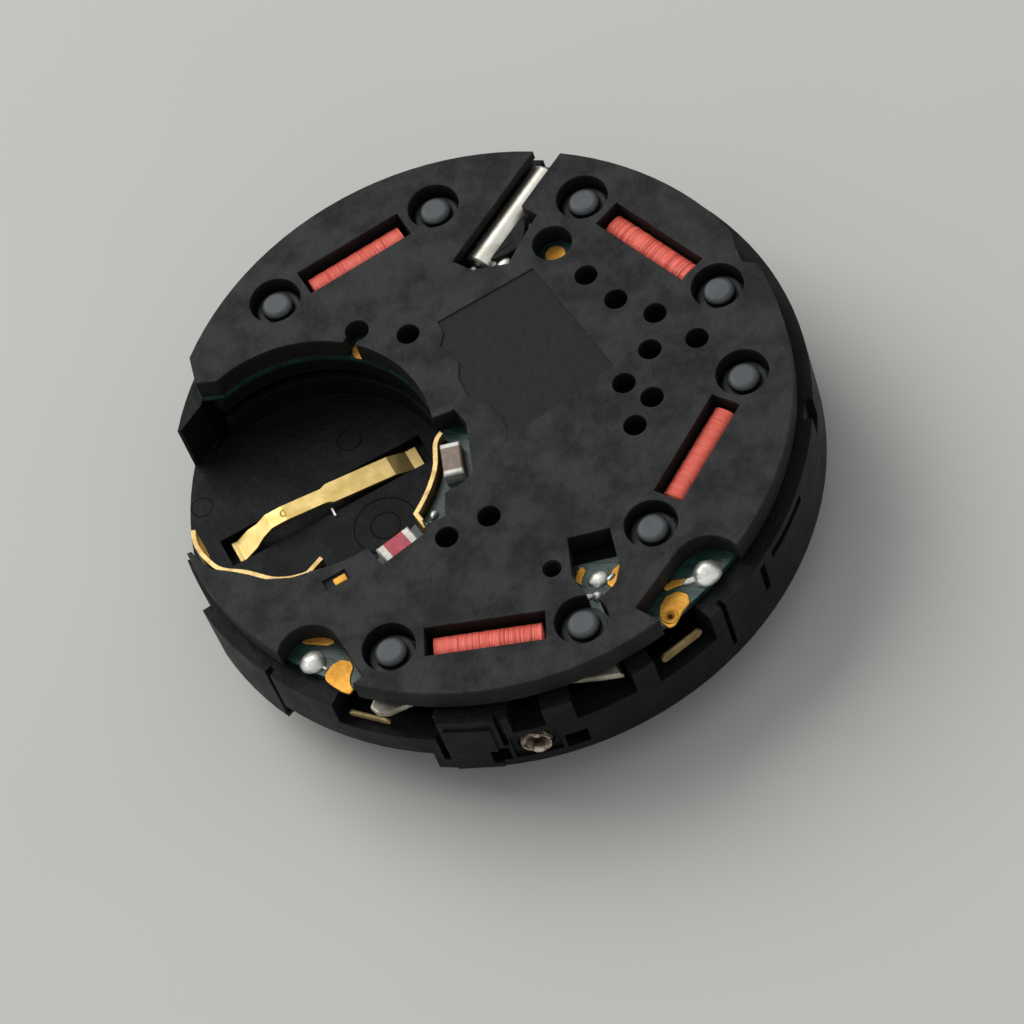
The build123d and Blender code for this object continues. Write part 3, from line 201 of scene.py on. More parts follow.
RIGHT_PAD = ((3.55, -7.62), (3.84, -7.12), (4.10, -6.95), (4.20, -7.20), (4.02, -7.50), (3.72, -7.86))

# The raised eyelet in the bean-shaped pad: place, radii of its ring and of the ring's wire, and rise
EYELET_PLACE = (5.55, -9.52)
EYELET_RADIUS = 0.24
EYELET_WIRE = 0.05
EYELET_RISE = 0.01

# The copper tail in the cover's small bay, and the plastic collar round it, turned alike
TAIL_PLACE = (-5.6, -5.58)
TAIL_SIZE = (0.52, 0.32, 0.87)
COLLAR_PLACE = (-5.86, -5.66)
COLLAR_SIZE = (1.16, 0.62, 0.84)
TAIL_TURN = 20
TAIL_EDGE = 0.05
COLLAR_EDGE = 0.03

# The dark cushion that fills the cover's bay beside the crystal's can
CUSHION_OUTLINE = (
    (0.97, 6.86), (1.45, 6.90), (1.95, 7.00), (2.40, 7.20),
    (2.62, 7.62), (2.76, 8.22), (2.70, 8.62), (2.42, 8.52),
)
CUSHION_HEIGHT = 0.34
CUSHION_CORNER = 0.1
CUSHION_SOFT = 0.2

# Mounds of solder: place, half length, half width, height, and the turn of the length in degrees
MOUND_LUMP = 0.08
MOUNDS = (
    (7.04, -8.12, 0.54, 0.50, 0.40, 30), (6.45, -8.24, 0.34, 0.13, 0.15, 10),
    (-7.05, -8.17, 0.47, 0.43, 0.36, 20), (-6.66, -8.50, 0.12, 0.07, 0.08, -40),
    (3.30, -7.38, 0.40, 0.31, 0.20, 25), (3.74, -7.42, 0.22, 0.10, 0.12, 35),
    (3.17, -8.06, 0.20, 0.17, 0.22, 0), (2.83, -8.00, 0.22, 0.13, 0.13, 10),
    (1.70, 6.82, 0.30, 0.24, 0.22, 45), (0.52, 6.88, 0.17, 0.13, 0.15, 0),
    (-2.13, -3.26, 0.20, 0.15, 0.18, 60),
)


def mesh_object(name, bm):
    """A finished bmesh as an object at the origin of the frame."""
    mesh = bpy.data.meshes.new(name)
    bm.to_mesh(mesh)
    bm.free()
    piece = bpy.data.objects.new(name, mesh)
    bpy.context.scene.collection.objects.link(piece)
    return piece


def paint(piece, material):
    """Gives the whole piece one material."""
    piece.data.materials.clear()
    piece.data.materials.append(material)
    for polygon in piece.data.polygons:
        polygon.material_index = 0


def round_off(bm, geom, width, segments, affect="EDGES"):
    """Rounds edges, or the corners of a flat face, by a width in millimetres."""
    return bmesh.ops.bevel(
        bm, geom=geom, offset=width * MM, segments=segments, profile=0.5, affect=affect, material=-1
    )


def block(bm, size):
    """A box about the origin, its size in millimetres."""
    corners = bmesh.ops.create_cube(bm, size=1.0)["verts"]
    bmesh.ops.scale(bm, vec=Vector(size) * MM, verts=corners)
    return corners


def turn_flat(bm, verts, degrees):
    """Turns a part of a mesh about Z."""
    bmesh.ops.rotate(bm, matrix=Matrix.Rotation(math.radians(degrees), 3, "Z"), verts=verts)


def add_node(tree, kind, **settings):
    """A new node of a kind, with its settings."""
    node = tree.nodes.new(kind)
    for name, value in settings.items():
        setattr(node, name, value)
    return node


def wire(tree, source, target):
    """Links an output to an input."""
    tree.links.new(source, target)


def feed(tree, value, target):
    """Links an output to an input, or sets the input to a plain value."""
    if isinstance(value, bpy.types.NodeSocket):
        wire(tree, value, target)
    else:
        target.default_value = value


def reckon(tree, operation, *values):
    """The result of a Math node on outputs or numbers."""
    node = add_node(tree, "ShaderNodeMath", operation=operation)
    for place, value in enumerate(values):
        feed(tree, value, node.inputs[place])
    return node.outputs[0]


def reckon_place(tree, operation, *values):
    """The result of a Vector Math node on outputs or vectors."""
    node = add_node(tree, "ShaderNodeVectorMath", operation=operation)
    for place, value in enumerate(values):
        feed(tree, value, node.inputs[place])
    return node.outputs["Value" if operation in ("LENGTH", "DOT_PRODUCT") else 0]


def object_place(tree):
    """The place of a point in the object's own coordinates."""
    return add_node(tree, "ShaderNodeTexCoord").outputs["Object"]


def place_from(tree, centre, turn=0.0):
    """The place of a point measured from a centre and turned about Z."""
    mapping = add_node(tree, "ShaderNodeMapping", vector_type="TEXTURE")
    mapping.inputs["Location"].default_value = centre
    mapping.inputs["Rotation"].default_value = (0, 0, turn)
    wire(tree, object_place(tree), mapping.inputs["Vector"])
    return mapping.outputs[0]


def coordinate(tree, place, axis):
    """One coordinate of a place."""
    split = add_node(tree, "ShaderNodeSeparateXYZ")
    wire(tree, place, split.inputs[0])
    return split.outputs[axis]


def ramp(tree, value, start, end, kind="LINEAR"):
    """A mask that goes from 0 where the value is start to 1 where it is end."""
    window = add_node(tree, "ShaderNodeMapRange", interpolation_type=kind)
    wire(tree, value, window.inputs["Value"])
    feed(tree, start, window.inputs["From Min"])
    feed(tree, end, window.inputs["From Max"])
    return window.outputs[0]


def cloud_at(tree, place, detail):
    """Noise with lumps about one unit of the place across."""
    cloud = add_node(tree, "ShaderNodeTexNoise")
    cloud.inputs["Scale"].default_value = 1.0
    wire(tree, place, cloud.inputs["Vector"])
    feed(tree, detail, cloud.inputs["Detail"])
    return cloud.outputs[0]


def new_group(name, inputs, outputs):
    """An empty shader group with number inputs and the given outputs."""
    group = bpy.data.node_groups.new(name, "ShaderNodeTree")
    for label, value in inputs:
        socket = group.interface.new_socket(label, in_out="INPUT", socket_type="NodeSocketFloat")
        socket.default_value = value
    for label, kind in outputs:
        group.interface.new_socket(label, in_out="OUTPUT", socket_type=kind)
    entry = group.nodes.new("NodeGroupInput")
    leave = group.nodes.new("NodeGroupOutput")
    return group, entry, leave


def patch_group():
    """Soft patches of a given size in millimetres, from 0 below Low to 1 above High."""
    group, entry, leave = new_group(
        "patches",
        (("Size", 1.0), ("Low", 0.4), ("High", 0.6), ("Detail", 3.0), ("Shift", 0.0)),
        (("Mask", "NodeSocketFloat"),),
    )
    scaled = add_node(group, "ShaderNodeVectorMath", operation="SCALE")
    wire(group, object_place(group), scaled.inputs[0])
    wire(group, reckon(group, "DIVIDE", 1 / MM, entry.outputs["Size"]), scaled.inputs["Scale"])
    moved = reckon_place(group, "ADD", scaled.outputs[0], entry.outputs["Shift"])
    cloud = cloud_at(group, moved, entry.outputs["Detail"])
    mask = ramp(group, cloud, entry.outputs["Low"], entry.outputs["High"], "SMOOTHSTEP")
    wire(group, mask, leave.inputs["Mask"])
    return group


def streak_group():
    """Long thin marks that run at a turn about Z, Width across and Run times as long, in millimetres."""
    group, entry, leave = new_group(
        "streaks",
        (("Width", 0.05), ("Run", 12.0), ("Turn", 0.0), ("Low", 0.6), ("High", 0.7)),
        (("Mask", "NodeSocketFloat"),),
    )
    turned = add_node(group, "ShaderNodeVectorRotate", rotation_type="Z_AXIS")
    wire(group, object_place(group), turned.inputs["Vector"])
    wire(group, entry.outputs["Turn"], turned.inputs["Angle"])
    across = reckon(group, "DIVIDE", 1 / MM, entry.outputs["Width"])
    along = reckon(group, "DIVIDE", across, entry.outputs["Run"])
    stretch = add_node(group, "ShaderNodeCombineXYZ")
    wire(group, along, stretch.inputs["X"])
    wire(group, across, stretch.inputs["Y"])
    wire(group, across, stretch.inputs["Z"])
    cloud = cloud_at(group, reckon_place(group, "MULTIPLY", turned.outputs[0], stretch.outputs[0]), 2.0)
    mask = ramp(group, cloud, entry.outputs["Low"], entry.outputs["High"], "SMOOTHSTEP")
    wire(group, mask, leave.inputs["Mask"])
    return group


def edge_group():
    """Rounds the look of sharp edges by Radius millimetres, and marks them in Edge."""
    group, entry, leave = new_group(
        "soft_edges",
        (("Radius", 0.05),),
        (("Normal", "NodeSocketVector"), ("Edge", "NodeSocketFloat")),
    )
    bevel = add_node(group, "ShaderNodeBevel", samples=6)
    wire(group, reckon(group, "MULTIPLY", entry.outputs["Radius"], MM), bevel.inputs["Radius"])
    surface = add_node(group, "ShaderNodeNewGeometry")
    likeness = reckon_place(group, "DOT_PRODUCT", bevel.outputs[0], surface.outputs["Normal"])
    wire(group, bevel.outputs[0], leave.inputs["Normal"])
    wire(group, ramp(group, likeness, 0.985, 0.86), leave.inputs["Edge"])
    return group


def ring_group():
    """A thin ring of a given Radius and Width in millimetres about Place, on one level only."""
    group, entry, leave = new_group(
        "rings",
        (("Radius", 0.4), ("Width", 0.03)),
        (("Mask", "NodeSocketFloat"),),
    )
    group.interface.new_socket("Place", in_out="INPUT", socket_type="NodeSocketVector")
    steep = reckon_place(group, "MULTIPLY", entry.outputs["Place"], (1 / MM, 1 / MM, 20 / MM))
    far = reckon_place(group, "LENGTH", steep)
    gap = reckon(group, "ABSOLUTE", reckon(group, "SUBTRACT", far, entry.outputs["Radius"]))
    wire(group, ramp(group, gap, entry.outputs["Width"], 0.0, "SMOOTHSTEP"), leave.inputs["Mask"])
    return group


PATCHES = patch_group()
STREAKS = streak_group()
SOFT_EDGES = edge_group()
RINGS = ring_group()


def effect(tree, group, **values):
    """Places a shared effect in a material with its own values."""
    node = tree.nodes.new("ShaderNodeGroup")
    node.node_tree = group
    for label, value in values.items():
        node.inputs[label].default_value = value
    return node


def mask_of(tree, group, **values):
    """The mask of a shared effect with a material's own values."""
    return effect(tree, group, **values).outputs["Mask"]


def ring_mask(tree, centre, radius, width):
    """A thin ring about a centre, its radius and width in millimetres."""
    ring = effect(tree, RINGS, Radius=radius, Width=width)
    wire(tree, place_from(tree, centre), ring.inputs["Place"])
    return ring.outputs["Mask"]


def blend_colour(tree, mask, low, high):
    """A colour that goes from low to high with the mask. Either may be an output or a colour."""
    mix = add_node(tree, "ShaderNodeMix", data_type="RGBA")
    wire(tree, mask, mix.inputs["Factor"])
    for place, value in ((6, low), (7, high)):
        feed(tree, (*value, 1) if isinstance(value, tuple) else value, mix.inputs[place])
    return mix.outputs[2]


def blend_value(tree, mask, low, high):
    """A number that goes from low to high with the mask. Either may be an output or a number."""
    mix = add_node(tree, "ShaderNodeMix", data_type="FLOAT")
    wire(tree, mask, mix.inputs["Factor"])
    feed(tree, low, mix.inputs[2])
    feed(tree, high, mix.inputs[3])
    return mix.outputs[0]


def weaken(tree, mask, share):
    """The mask times a number."""
    return reckon(tree, "MULTIPLY", mask, share)


def glaze(tree, colour, mask, share, over):
    """Lays another colour over a colour, by a share of the mask."""
    return blend_colour(tree, weaken(tree, mask, share), colour, over)


def shade(colour, share):
    """A colour made darker or paler by a share."""
    return tuple(share * part for part in colour)


def relief(tree, height, depth, normal=None):
    """A bump of the given depth in millimetres, over another normal if there is one."""
    bump = add_node(tree, "ShaderNodeBump")
    bump.inputs["Distance"].default_value = depth * MM
    bump.inputs["Strength"].default_value = 1.0
    wire(tree, height, bump.inputs["Height"])
    if normal is not None:
        wire(tree, normal, bump.inputs["Normal"])
    return bump.outputs[0]


def new_finish(name):
    """A new material, its node tree and its shader."""
    material = bpy.data.materials.new(name)
    material.use_nodes = True
    return material, material.node_tree, material.node_tree.nodes["Principled BSDF"]


def coat(tree, shader, colour, rough, normal):
    """Gives a shader its colour, roughness and normal."""
    wire(tree, colour, shader.inputs["Base Color"])
    wire(tree, rough, shader.inputs["Roughness"])
    wire(tree, normal, shader.inputs["Normal"])


def lay_stain_or_shade(material, mask, colour, share=1.0):
    """Lays a colour over a material's own, by a share of the mask: a stain, or painted shade."""
    tree = material.node_tree
    base = tree.nodes["Principled BSDF"].inputs["Base Color"]
    wire(tree, glaze(tree, base.links[0].from_socket, mask, share, colour), base)


def moulded_black(name, dark, light, gloss, worn):
    """Filled black plastic: cloudy, faintly grained and rubbed, paler along its edges."""
    material, tree, shader = new_finish(name)
    clouds = mask_of(tree, PATCHES, Size=1.1, Low=0.36, High=0.66, Detail=8.0)
    specks = mask_of(tree, PATCHES, Size=0.11, Low=0.6, High=0.72, Detail=2.0, Shift=7.0)
    rubs = mask_of(tree, STREAKS, Width=0.045, Run=22.0, Turn=0.7, Low=0.66, High=0.74)
    marks = mask_of(tree, STREAKS, Width=0.03, Run=30.0, Turn=-0.5, Low=0.69, High=0.76)
    edges = effect(tree, SOFT_EDGES, Radius=0.045)
    grain = mask_of(tree, PATCHES, Size=0.045, Low=0.3, High=0.7, Detail=3.0, Shift=3.0)
    brushed = mask_of(tree, PATCHES, Size=0.3, Low=0.36, High=0.66, Detail=6.0, Shift=13.0)
    pale = shade(light, 2.6)
    colour = blend_colour(tree, clouds, dark, light)
    colour = glaze(tree, colour, brushed, 0.5, light)
    colour = glaze(tree, colour, grain, 0.3, dark)
    colour = glaze(tree, colour, specks, 0.2, pale)
    colour = glaze(tree, colour, rubs, 0.2, pale)
    colour = glaze(tree, colour, edges.outputs["Edge"], worn, pale)
    rough = blend_value(tree, clouds, gloss + 0.09, gloss)
    rough = blend_value(tree, marks, rough, gloss - 0.1)
    normal = relief(tree, brushed, 0.012, edges.outputs["Normal"])
    coat(tree, shader, colour, rough, relief(tree, grain, 0.0045, normal))
    return material


def cover_black():
    """The cover's matt plastic, with its sunk panel smoother and free of cloud, and painted shade in its
    recesses.
    """
    material = moulded_black("cover_plastic", (0.0034, 0.0037, 0.0038), (0.0235, 0.0242, 0.0246), 0.6, 0.2)
    tree = material.node_tree
    shader = tree.nodes["Principled BSDF"]
    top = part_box("circuit_cover")[1].z
    height = coordinate(tree, object_place(tree), "Z")
    panel = reckon(tree, "COMPARE", height, top - PANEL_DEPTH * MM, PANEL_BAND * MM)
    fine = mask_of(tree, PATCHES, Size=0.25, Low=0.3, High=0.7, Detail=2.0)
    lay_stain_or_shade(material, panel, blend_colour(tree, fine, (0.0100, 0.0106, 0.0108), (0.0125, 0.0132, 0.0134)))
    # Painted shade: the cover darkens in its recesses, more so deeper below its top.
    recess_shade_mask = ramp(tree, height, top - RECESS_SHADE[0] * MM, top - RECESS_SHADE[1] * MM)
    lay_stain_or_shade(material, recess_shade_mask, (0.0015, 0.0016, 0.0016), 0.7)
    rough = shader.inputs["Roughness"].links[0].from_socket
    wire(tree, blend_value(tree, panel, rough, 0.72), shader.inputs["Roughness"])
    shader.inputs["Specular IOR Level"].default_value = 0.25
    return material


def body_black():
    """The body's plastic, with the plain round marks of the mould's pins on the battery pocket's floor, and
    painted shade below that floor's level.
    """
    material = moulded_black("body_plastic", (0.0010, 0.0014, 0.0015), (0.0036, 0.0050, 0.0052), 0.5, 0.1)
    tree = material.node_tree
    shader = tree.nodes["Principled BSDF"]
    height = coordinate(tree, object_place(tree), "Z")
    # Painted shade: all the body's plastic below the pocket's floor goes near black.
    start, end = [(POCKET_FLOOR - depth) * MM for depth in POCKET_SHADE]
    below = ramp(tree, height, start, end)
    lay_stain_or_shade(material, below, (0.0008, 0.0008, 0.0008), 0.75)
    rings = 0.0
    for x, y, radius in PIN_MARKS:
        ring = ring_mask(tree, (x * MM, y * MM, POCKET_FLOOR * MM), radius, PIN_MARK_WIDTH)
        rings = reckon(tree, "MAXIMUM", rings, ring)
    lay_stain_or_shade(material, rings, (0.0015, 0.0015, 0.0015))
    normal = shader.inputs["Normal"].links[0].from_socket
    wire(tree, relief(tree, rings, -0.03, normal), shader.inputs["Normal"])
    shader.inputs["Specular IOR Level"].default_value = 0.16
    return material


def post_plastic():
    """Blue-black posts with softly shining domed heads, and painted shade on the posts below their heads."""
    material, tree, shader = new_finish("post_heads")
    clouds = mask_of(tree, PATCHES, Size=0.5, Low=0.35, High=0.65, Detail=4.0)
    edges = effect(tree, SOFT_EDGES, Radius=0.09)
    grain = mask_of(tree, PATCHES, Size=0.06, Low=0.3, High=0.7, Detail=3.0)
    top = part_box("coil_posts")[1].z
    height = coordinate(tree, object_place(tree), "Z")
    # Painted shade: the posts turn near black below their heads, down in the cover's recesses.
    head_shade_mask = ramp(tree, height, top - POST_HEAD_SHADE[0] * MM, top - POST_HEAD_SHADE[1] * MM)
    colour = blend_colour(tree, clouds, (0.050, 0.057, 0.062), (0.072, 0.080, 0.086))
    colour = blend_colour(tree, head_shade_mask, (0.0025, 0.0028, 0.003), colour)
    rough = blend_value(tree, clouds, 0.5, 0.58)
    coat(tree, shader, colour, rough, relief(tree, grain, 0.003, edges.outputs["Normal"]))
    return material


def enamelled_wire(number):
    """Red enamelled copper wire, with a painted highlight on the crest of some turns and painted shade
    between others.
    """
    material, tree, shader = new_finish(f"coil_wire_{number + 1}")
    heading = coil_line(number)[1]
    across = math.atan2(heading.x, -heading.y)
    crest_threads_and_highlight = mask_of(tree, STREAKS, Width=0.075, Run=30.0, Turn=-across + 0.05, Low=0.42, High=0.64)
    gap_shade = mask_of(tree, STREAKS, Width=0.1, Run=24.0, Turn=-across - 0.03, Low=0.58, High=0.68)
    clouds = mask_of(tree, PATCHES, Size=0.7, Low=0.3, High=0.7, Detail=3.0)
    colour = blend_colour(tree, clouds, (0.88, 0.115, 0.080), (0.95, 0.150, 0.105))
    # Painted highlight on the crests of the turns, and painted shade in the gaps between them.
    colour = glaze(tree, colour, crest_threads_and_highlight, 0.35, (0.95, 0.26, 0.19))
    colour = glaze(tree, colour, gap_shade, 0.12, (0.5, 0.04, 0.03))
    coat(tree, shader, colour, blend_value(tree, crest_threads_and_highlight, 0.55, 0.42), relief(tree, crest_threads_and_highlight, 0.006))
    return material


def bright_metal(name, deep, bright, gloss, turn=0.0, lumps=0.0, run=14.0, matt=0.0):
    """Plated or drawn metal with fine drawing marks, a little tarnish, soft edges and a matt grain."""
    material, tree, shader = new_finish(name)
    tarnish = mask_of(tree, PATCHES, Size=0.7, Low=0.35, High=0.7, Detail=5.0)
    drawn = mask_of(tree, STREAKS, Width=0.02, Run=run, Turn=turn, Low=0.35, High=0.65)
    edges = effect(tree, SOFT_EDGES, Radius=0.03)
    colour = blend_colour(tree, tarnish, bright, deep)
    colour = glaze(tree, colour, drawn, 0.18, deep)
    rough = blend_value(tree, tarnish, gloss, gloss + 0.12)
    rough = blend_value(tree, drawn, rough, gloss + 0.06)
    normal = relief(tree, drawn, 0.0008, edges.outputs["Normal"])
    if matt:
        specks = mask_of(tree, PATCHES, Size=0.07, Low=0.35, High=0.68, Detail=2.0, Shift=9.0)
        colour = glaze(tree, colour, specks, matt, deep)
        normal = relief(tree, specks, 0.003 * matt, normal)
    if lumps:
        soft = mask_of(tree, PATCHES, Size=0.3, Low=0.2, High=0.8, Detail=2.0, Shift=5.0)
        normal = relief(tree, soft, lumps, normal)
    coat(tree, shader, colour, rough, normal)
    shader.inputs["Metallic"].default_value = 1.0
    return material


def board_laminate():
    """Dark green solder resist with a soft shine and the shade of tracks below it."""
    material, tree, shader = new_finish("board_laminate")
    tracks = mask_of(tree, STREAKS, Width=0.28, Run=4.0, Turn=0.5, Low=0.5, High=0.54)
    clouds = mask_of(tree, PATCHES, Size=0.5, Low=0.3, High=0.7, Detail=4.0)
    edges = effect(tree, SOFT_EDGES, Radius=0.03)
    colour = blend_colour(tree, clouds, (0.004, 0.022, 0.019), (0.008, 0.038, 0.032))
    colour = glaze(tree, colour, tracks, 0.5, (0.013, 0.066, 0.052))
    colour = glaze(tree, colour, edges.outputs["Edge"], 0.3, (0.05, 0.08, 0.06))
    rough = blend_value(tree, clouds, 0.3, 0.38)
    coat(tree, shader, colour, rough, relief(tree, tracks, 0.006, edges.outputs["Normal"]))
    return material


def capped_chip(name, centre, turn, reach, body, cap):
    """A small chip part: a coloured body with a silver cap at each end, beyond reach from its centre."""
    material, tree, shader = new_finish(name)
    away = reckon(tree, "ABSOLUTE", coordinate(tree, place_from(tree, centre, turn), "X"))
    ends = ramp(tree, away, reach, reach + 0.02 * MM)
    clouds = mask_of(tree, PATCHES, Size=0.3, Low=0.3, High=0.7, Detail=4.0)
    edges = effect(tree, SOFT_EDGES, Radius=0.04)
    colour = blend_colour(tree, clouds, body, shade(body, 0.72))
    silver = blend_colour(tree, clouds, cap, shade(cap, 0.7))
    colour = blend_colour(tree, ends, colour, silver)
    rough = blend_value(tree, ends, 0.38, 0.45)
    coat(tree, shader, colour, rough, relief(tree, clouds, 0.006, edges.outputs["Normal"]))
    wire(tree, weaken(tree, ends, 0.4), shader.inputs["Metallic"])
    return material


def stained_metal():
    """The bush's pale metal, stained brown in places and dark in its pits."""
    material = bright_metal("bush_metal", (0.22, 0.14, 0.10), (0.66, 0.58, 0.48), 0.45, lumps=0.03)
    pits = mask_of(material.node_tree, PATCHES, Size=0.28, Low=0.5, High=0.62, Detail=3.0, Shift=11.0)
    lay_stain_or_shade(material, pits, (0.02, 0.014, 0.01), 0.6)
    return material


def pusher_gold():
    """Dull tan gold, with painted shade that blackens it where it runs back into the body."""
    material = bright_metal("pusher_gold", (0.30, 0.22, 0.10), (0.62, 0.47, 0.24), 0.5, matt=0.4)
    tree = material.node_tree
    face = -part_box("stem_bush")[0].y
    flat = reckon_place(tree, "MULTIPLY", object_place(tree), (1, 1, 0))
    far = reckon_place(tree, "LENGTH", flat)
    # Painted shade: the bars go black where they run back under the body.
    root = ramp(tree, far, face - BAR_ROOT_SHADE[0] * MM, face - BAR_ROOT_SHADE[1] * MM)
    lay_stain_or_shade(material, root, (0.012, 0.010, 0.008))
    return material


def blade_gold():
    """Pale gold plating, duller at the blade's root, with one small punched ring on its crest."""
    deep, bright = (0.66, 0.47, 0.16), (0.93, 0.72, 0.31)
    material = bright_metal("blade_gold", deep, bright, 0.42, turn=-0.33, run=3.0, matt=0.35)
    tree = material.node_tree
    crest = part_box("negative_contact")[1].z
    along = coordinate(tree, object_place(tree), "X")
    root = ramp(tree, along, BLADE_ROOT[0] * MM, BLADE_ROOT[1] * MM)
    lay_stain_or_shade(material, root, (0.34, 0.24, 0.10), 0.7)
    centre = (DIMPLE_PLACE[0] * MM, DIMPLE_PLACE[1] * MM, crest)
    dimple = ring_mask(tree, centre, DIMPLE_RADIUS, DIMPLE_WIDTH)
    lay_stain_or_shade(material, dimple, (0.12, 0.07, 0.02))
    return material


def pad_gold():
    """Warm gold plating on the pads, with painted shade for the hole inside the eyelet."""
    material = bright_metal("pad_gold", (0.55, 0.27, 0.045), (0.76, 0.41, 0.08), 0.5, lumps=0.012, matt=0.25)
    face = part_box("circuit_board")[1].z + PAD_HEIGHT * MM
    centre = (EYELET_PLACE[0] * MM, EYELET_PLACE[1] * MM, face)
    # Painted shade: a dark spot stands for the hole inside the eyelet.
    lay_stain_or_shade(material, ring_mask(material.node_tree, centre, 0.05, 0.2), (0.02, 0.008, 0.002))
    return material


def plain_moulding(name, body, gloss):
    """Hard plain plastic or ceramic with a faint cloud and soft edges."""
    material, tree, shader = new_finish(name)
    clouds = mask_of(tree, PATCHES, Size=0.6, Low=0.3, High=0.7, Detail=4.0)
    edges = effect(tree, SOFT_EDGES, Radius=0.03)
    colour = blend_colour(tree, clouds, body, shade(body, 0.82))
    rough = blend_value(tree, clouds, gloss, gloss + 0.08)
    coat(tree, shader, colour, rough, relief(tree, clouds, 0.003, edges.outputs["Normal"]))
    return material


def coil_line(number):
    """Middle and heading of a coil, from its two posts."""
    start = Vector((*POST_PLACES[2 * number], 0)) * MM
    end = Vector((*POST_PLACES[2 * number + 1], 0)) * MM
    heading = (end - start).normalized()
    low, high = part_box(f"coil_core_{number + 1}")
    middle = (start + end) / 2
    middle.z = (low.z + high.z) / 2 + WINDING_RISE * MM
    return middle, heading


def wound_coil(number):
    """One coil of fine wire, turn beside turn, flat sided with round corners and a little uneven."""
    bm = bmesh.new()
    bmesh.ops.create_grid(bm, x_segments=1, y_segments=1, size=0.5)
    bmesh.ops.scale(bm, vec=(WINDING_HEIGHT * MM, WINDING_WIDTH * MM, 1), verts=bm.verts)
    round_off(bm, bm.verts[:], WINDING_CORNER, 5, affect="VERTICES")
    bmesh.ops.rotate(bm, matrix=Matrix.Rotation(math.radians(90), 3, "Y"), verts=bm.verts)
    bmesh.ops.translate(bm, vec=(-WINDING_LENGTH / 2 * MM, 0, 0), verts=bm.verts)
    face = bm.faces[:][0]
    sunk = 0.0
    for step in range(STEPS_PER_TURN * TURNS):
        grown = bmesh.ops.extrude_face_region(bm, geom=[face])["geom"]
        face = [part for part in grown if isinstance(part, bmesh.types.BMFace)][0]
        ring = face.verts[:]
        turn, part_of_turn = divmod(step, STEPS_PER_TURN)
        groove = GROOVE if part_of_turn == STEPS_PER_TURN - 1 else 0.0
        quick = QUICK_WAVE[1] * math.sin(QUICK_WAVE[0] * turn + number)
        slow = SLOW_WAVE[1] * math.sin(SLOW_WAVE[0] * turn)
        level = groove + WIRE_SUNK + quick + slow
        bmesh.ops.translate(bm, vec=(WIRE_PITCH / STEPS_PER_TURN * MM, 0, 0), verts=ring)
        wide = (WINDING_WIDTH - 2 * level) / (WINDING_WIDTH - 2 * sunk)
        high = (WINDING_HEIGHT - 2 * level) / (WINDING_HEIGHT - 2 * sunk)
        bmesh.ops.scale(bm, vec=(1, wide, high), verts=ring)
        sunk = level
    middle, heading = coil_line(number)
    side = Vector((-heading.y, heading.x, 0))
    turn = Matrix((heading, side, Vector((0, 0, 1)))).transposed().to_4x4()
    bmesh.ops.transform(bm, matrix=Matrix.Translation(middle) @ turn, verts=bm.verts)
    bmesh.ops.recalc_face_normals(bm, faces=bm.faces)
    for face in bm.faces:
        face.smooth = True
    coil = mesh_object(f"wound_coil_{number + 1}", bm)
    paint(coil, enamelled_wire(number))
    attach(coil, "frame")
    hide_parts(f"coil_winding_{number + 1}")


def lay_pad(bm, outline, low, high, corner, soft=PAD_SOFT):
    """One flat pad with round corners, its top edges softened by a share of its height."""
    corners = [bm.verts.new((x * MM, y * MM, low * MM)) for x, y in outline]
    bm.faces.new(corners)
    rounded = round_off(bm, corners, corner, 3, affect="VERTICES")
    face = [part for part in bm.faces if part.verts[0] in rounded["verts"] and len(part.verts) > 4][0]
    grown = bmesh.ops.extrude_face_region(bm, geom=[face])["geom"]
    top = [part for part in grown if isinstance(part, bmesh.types.BMFace)][0]
    bmesh.ops.translate(bm, vec=(0, 0, (high - low) * MM), verts=top.verts[:])
    round_off(bm, top.edges[:], soft * (high - low), 2)


def lay_disc(bm, x, y, radius, low):
    """One round pad."""
    made = bmesh.ops.create_circle(bm, cap_ends=True, segments=40, radius=radius * MM)
    face = list({part for vert in made["verts"] for part in vert.link_faces})
    grown = bmesh.ops.extrude_face_region(bm, geom=face)["geom"]
    raised = [part for part in grown if isinstance(part, bmesh.types.BMVert)]
    bmesh.ops.translate(bm, vec=(0, 0, PAD_HEIGHT * MM), verts=raised)
    bmesh.ops.translate(bm, vec=(x * MM, y * MM, low * MM), verts=made["verts"] + raised)


def lay_eyelet(bm, level):
    """The raised ring round the hole in the bean-shaped pad."""
    start = len(bm.verts)
    bmesh.ops.create_circle(bm, segments=10, radius=EYELET_WIRE * MM)
    bm.verts.ensure_lookup_table()
    loop = bm.verts[start:]
    bmesh.ops.rotate(bm, matrix=Matrix.Rotation(math.radians(90), 3, "X"), verts=loop)
    bmesh.ops.translate(bm, vec=(EYELET_RADIUS * MM, 0, 0), verts=loop)
    edges = list({edge for vert in loop for edge in vert.link_edges})
    bmesh.ops.spin(
        bm, geom=loop + edges, cent=(0, 0, 0), axis=(0, 0, 1), angle=2 * math.pi, steps=28, use_merge=True
    )
    bm.verts.ensure_lookup_table()
    centre = (EYELET_PLACE[0] * MM, EYELET_PLACE[1] * MM, level * MM)
    bmesh.ops.translate(bm, vec=centre, verts=bm.verts[start:])
    bmesh.ops.remove_doubles(bm, verts=bm.verts[start:], dist=MERGE_GAP * MM)


def lay_tail(bm, board):
    """The copper tail that stands up from the board into the cover's small bay."""
    corners = block(bm, TAIL_SIZE)
    round_off(bm, list({edge for vert in corners for edge in vert.link_edges}), TAIL_EDGE, 3)
    tail = [vert for vert in bm.verts if abs(vert.co.x) < TAIL_SIZE[0] * MM]
    turn_flat(bm, tail, TAIL_TURN)
    place = (TAIL_PLACE[0] * MM, TAIL_PLACE[1] * MM, (board + TAIL_SIZE[2] / 2) * MM)
    bmesh.ops.translate(bm, vec=place, verts=tail)


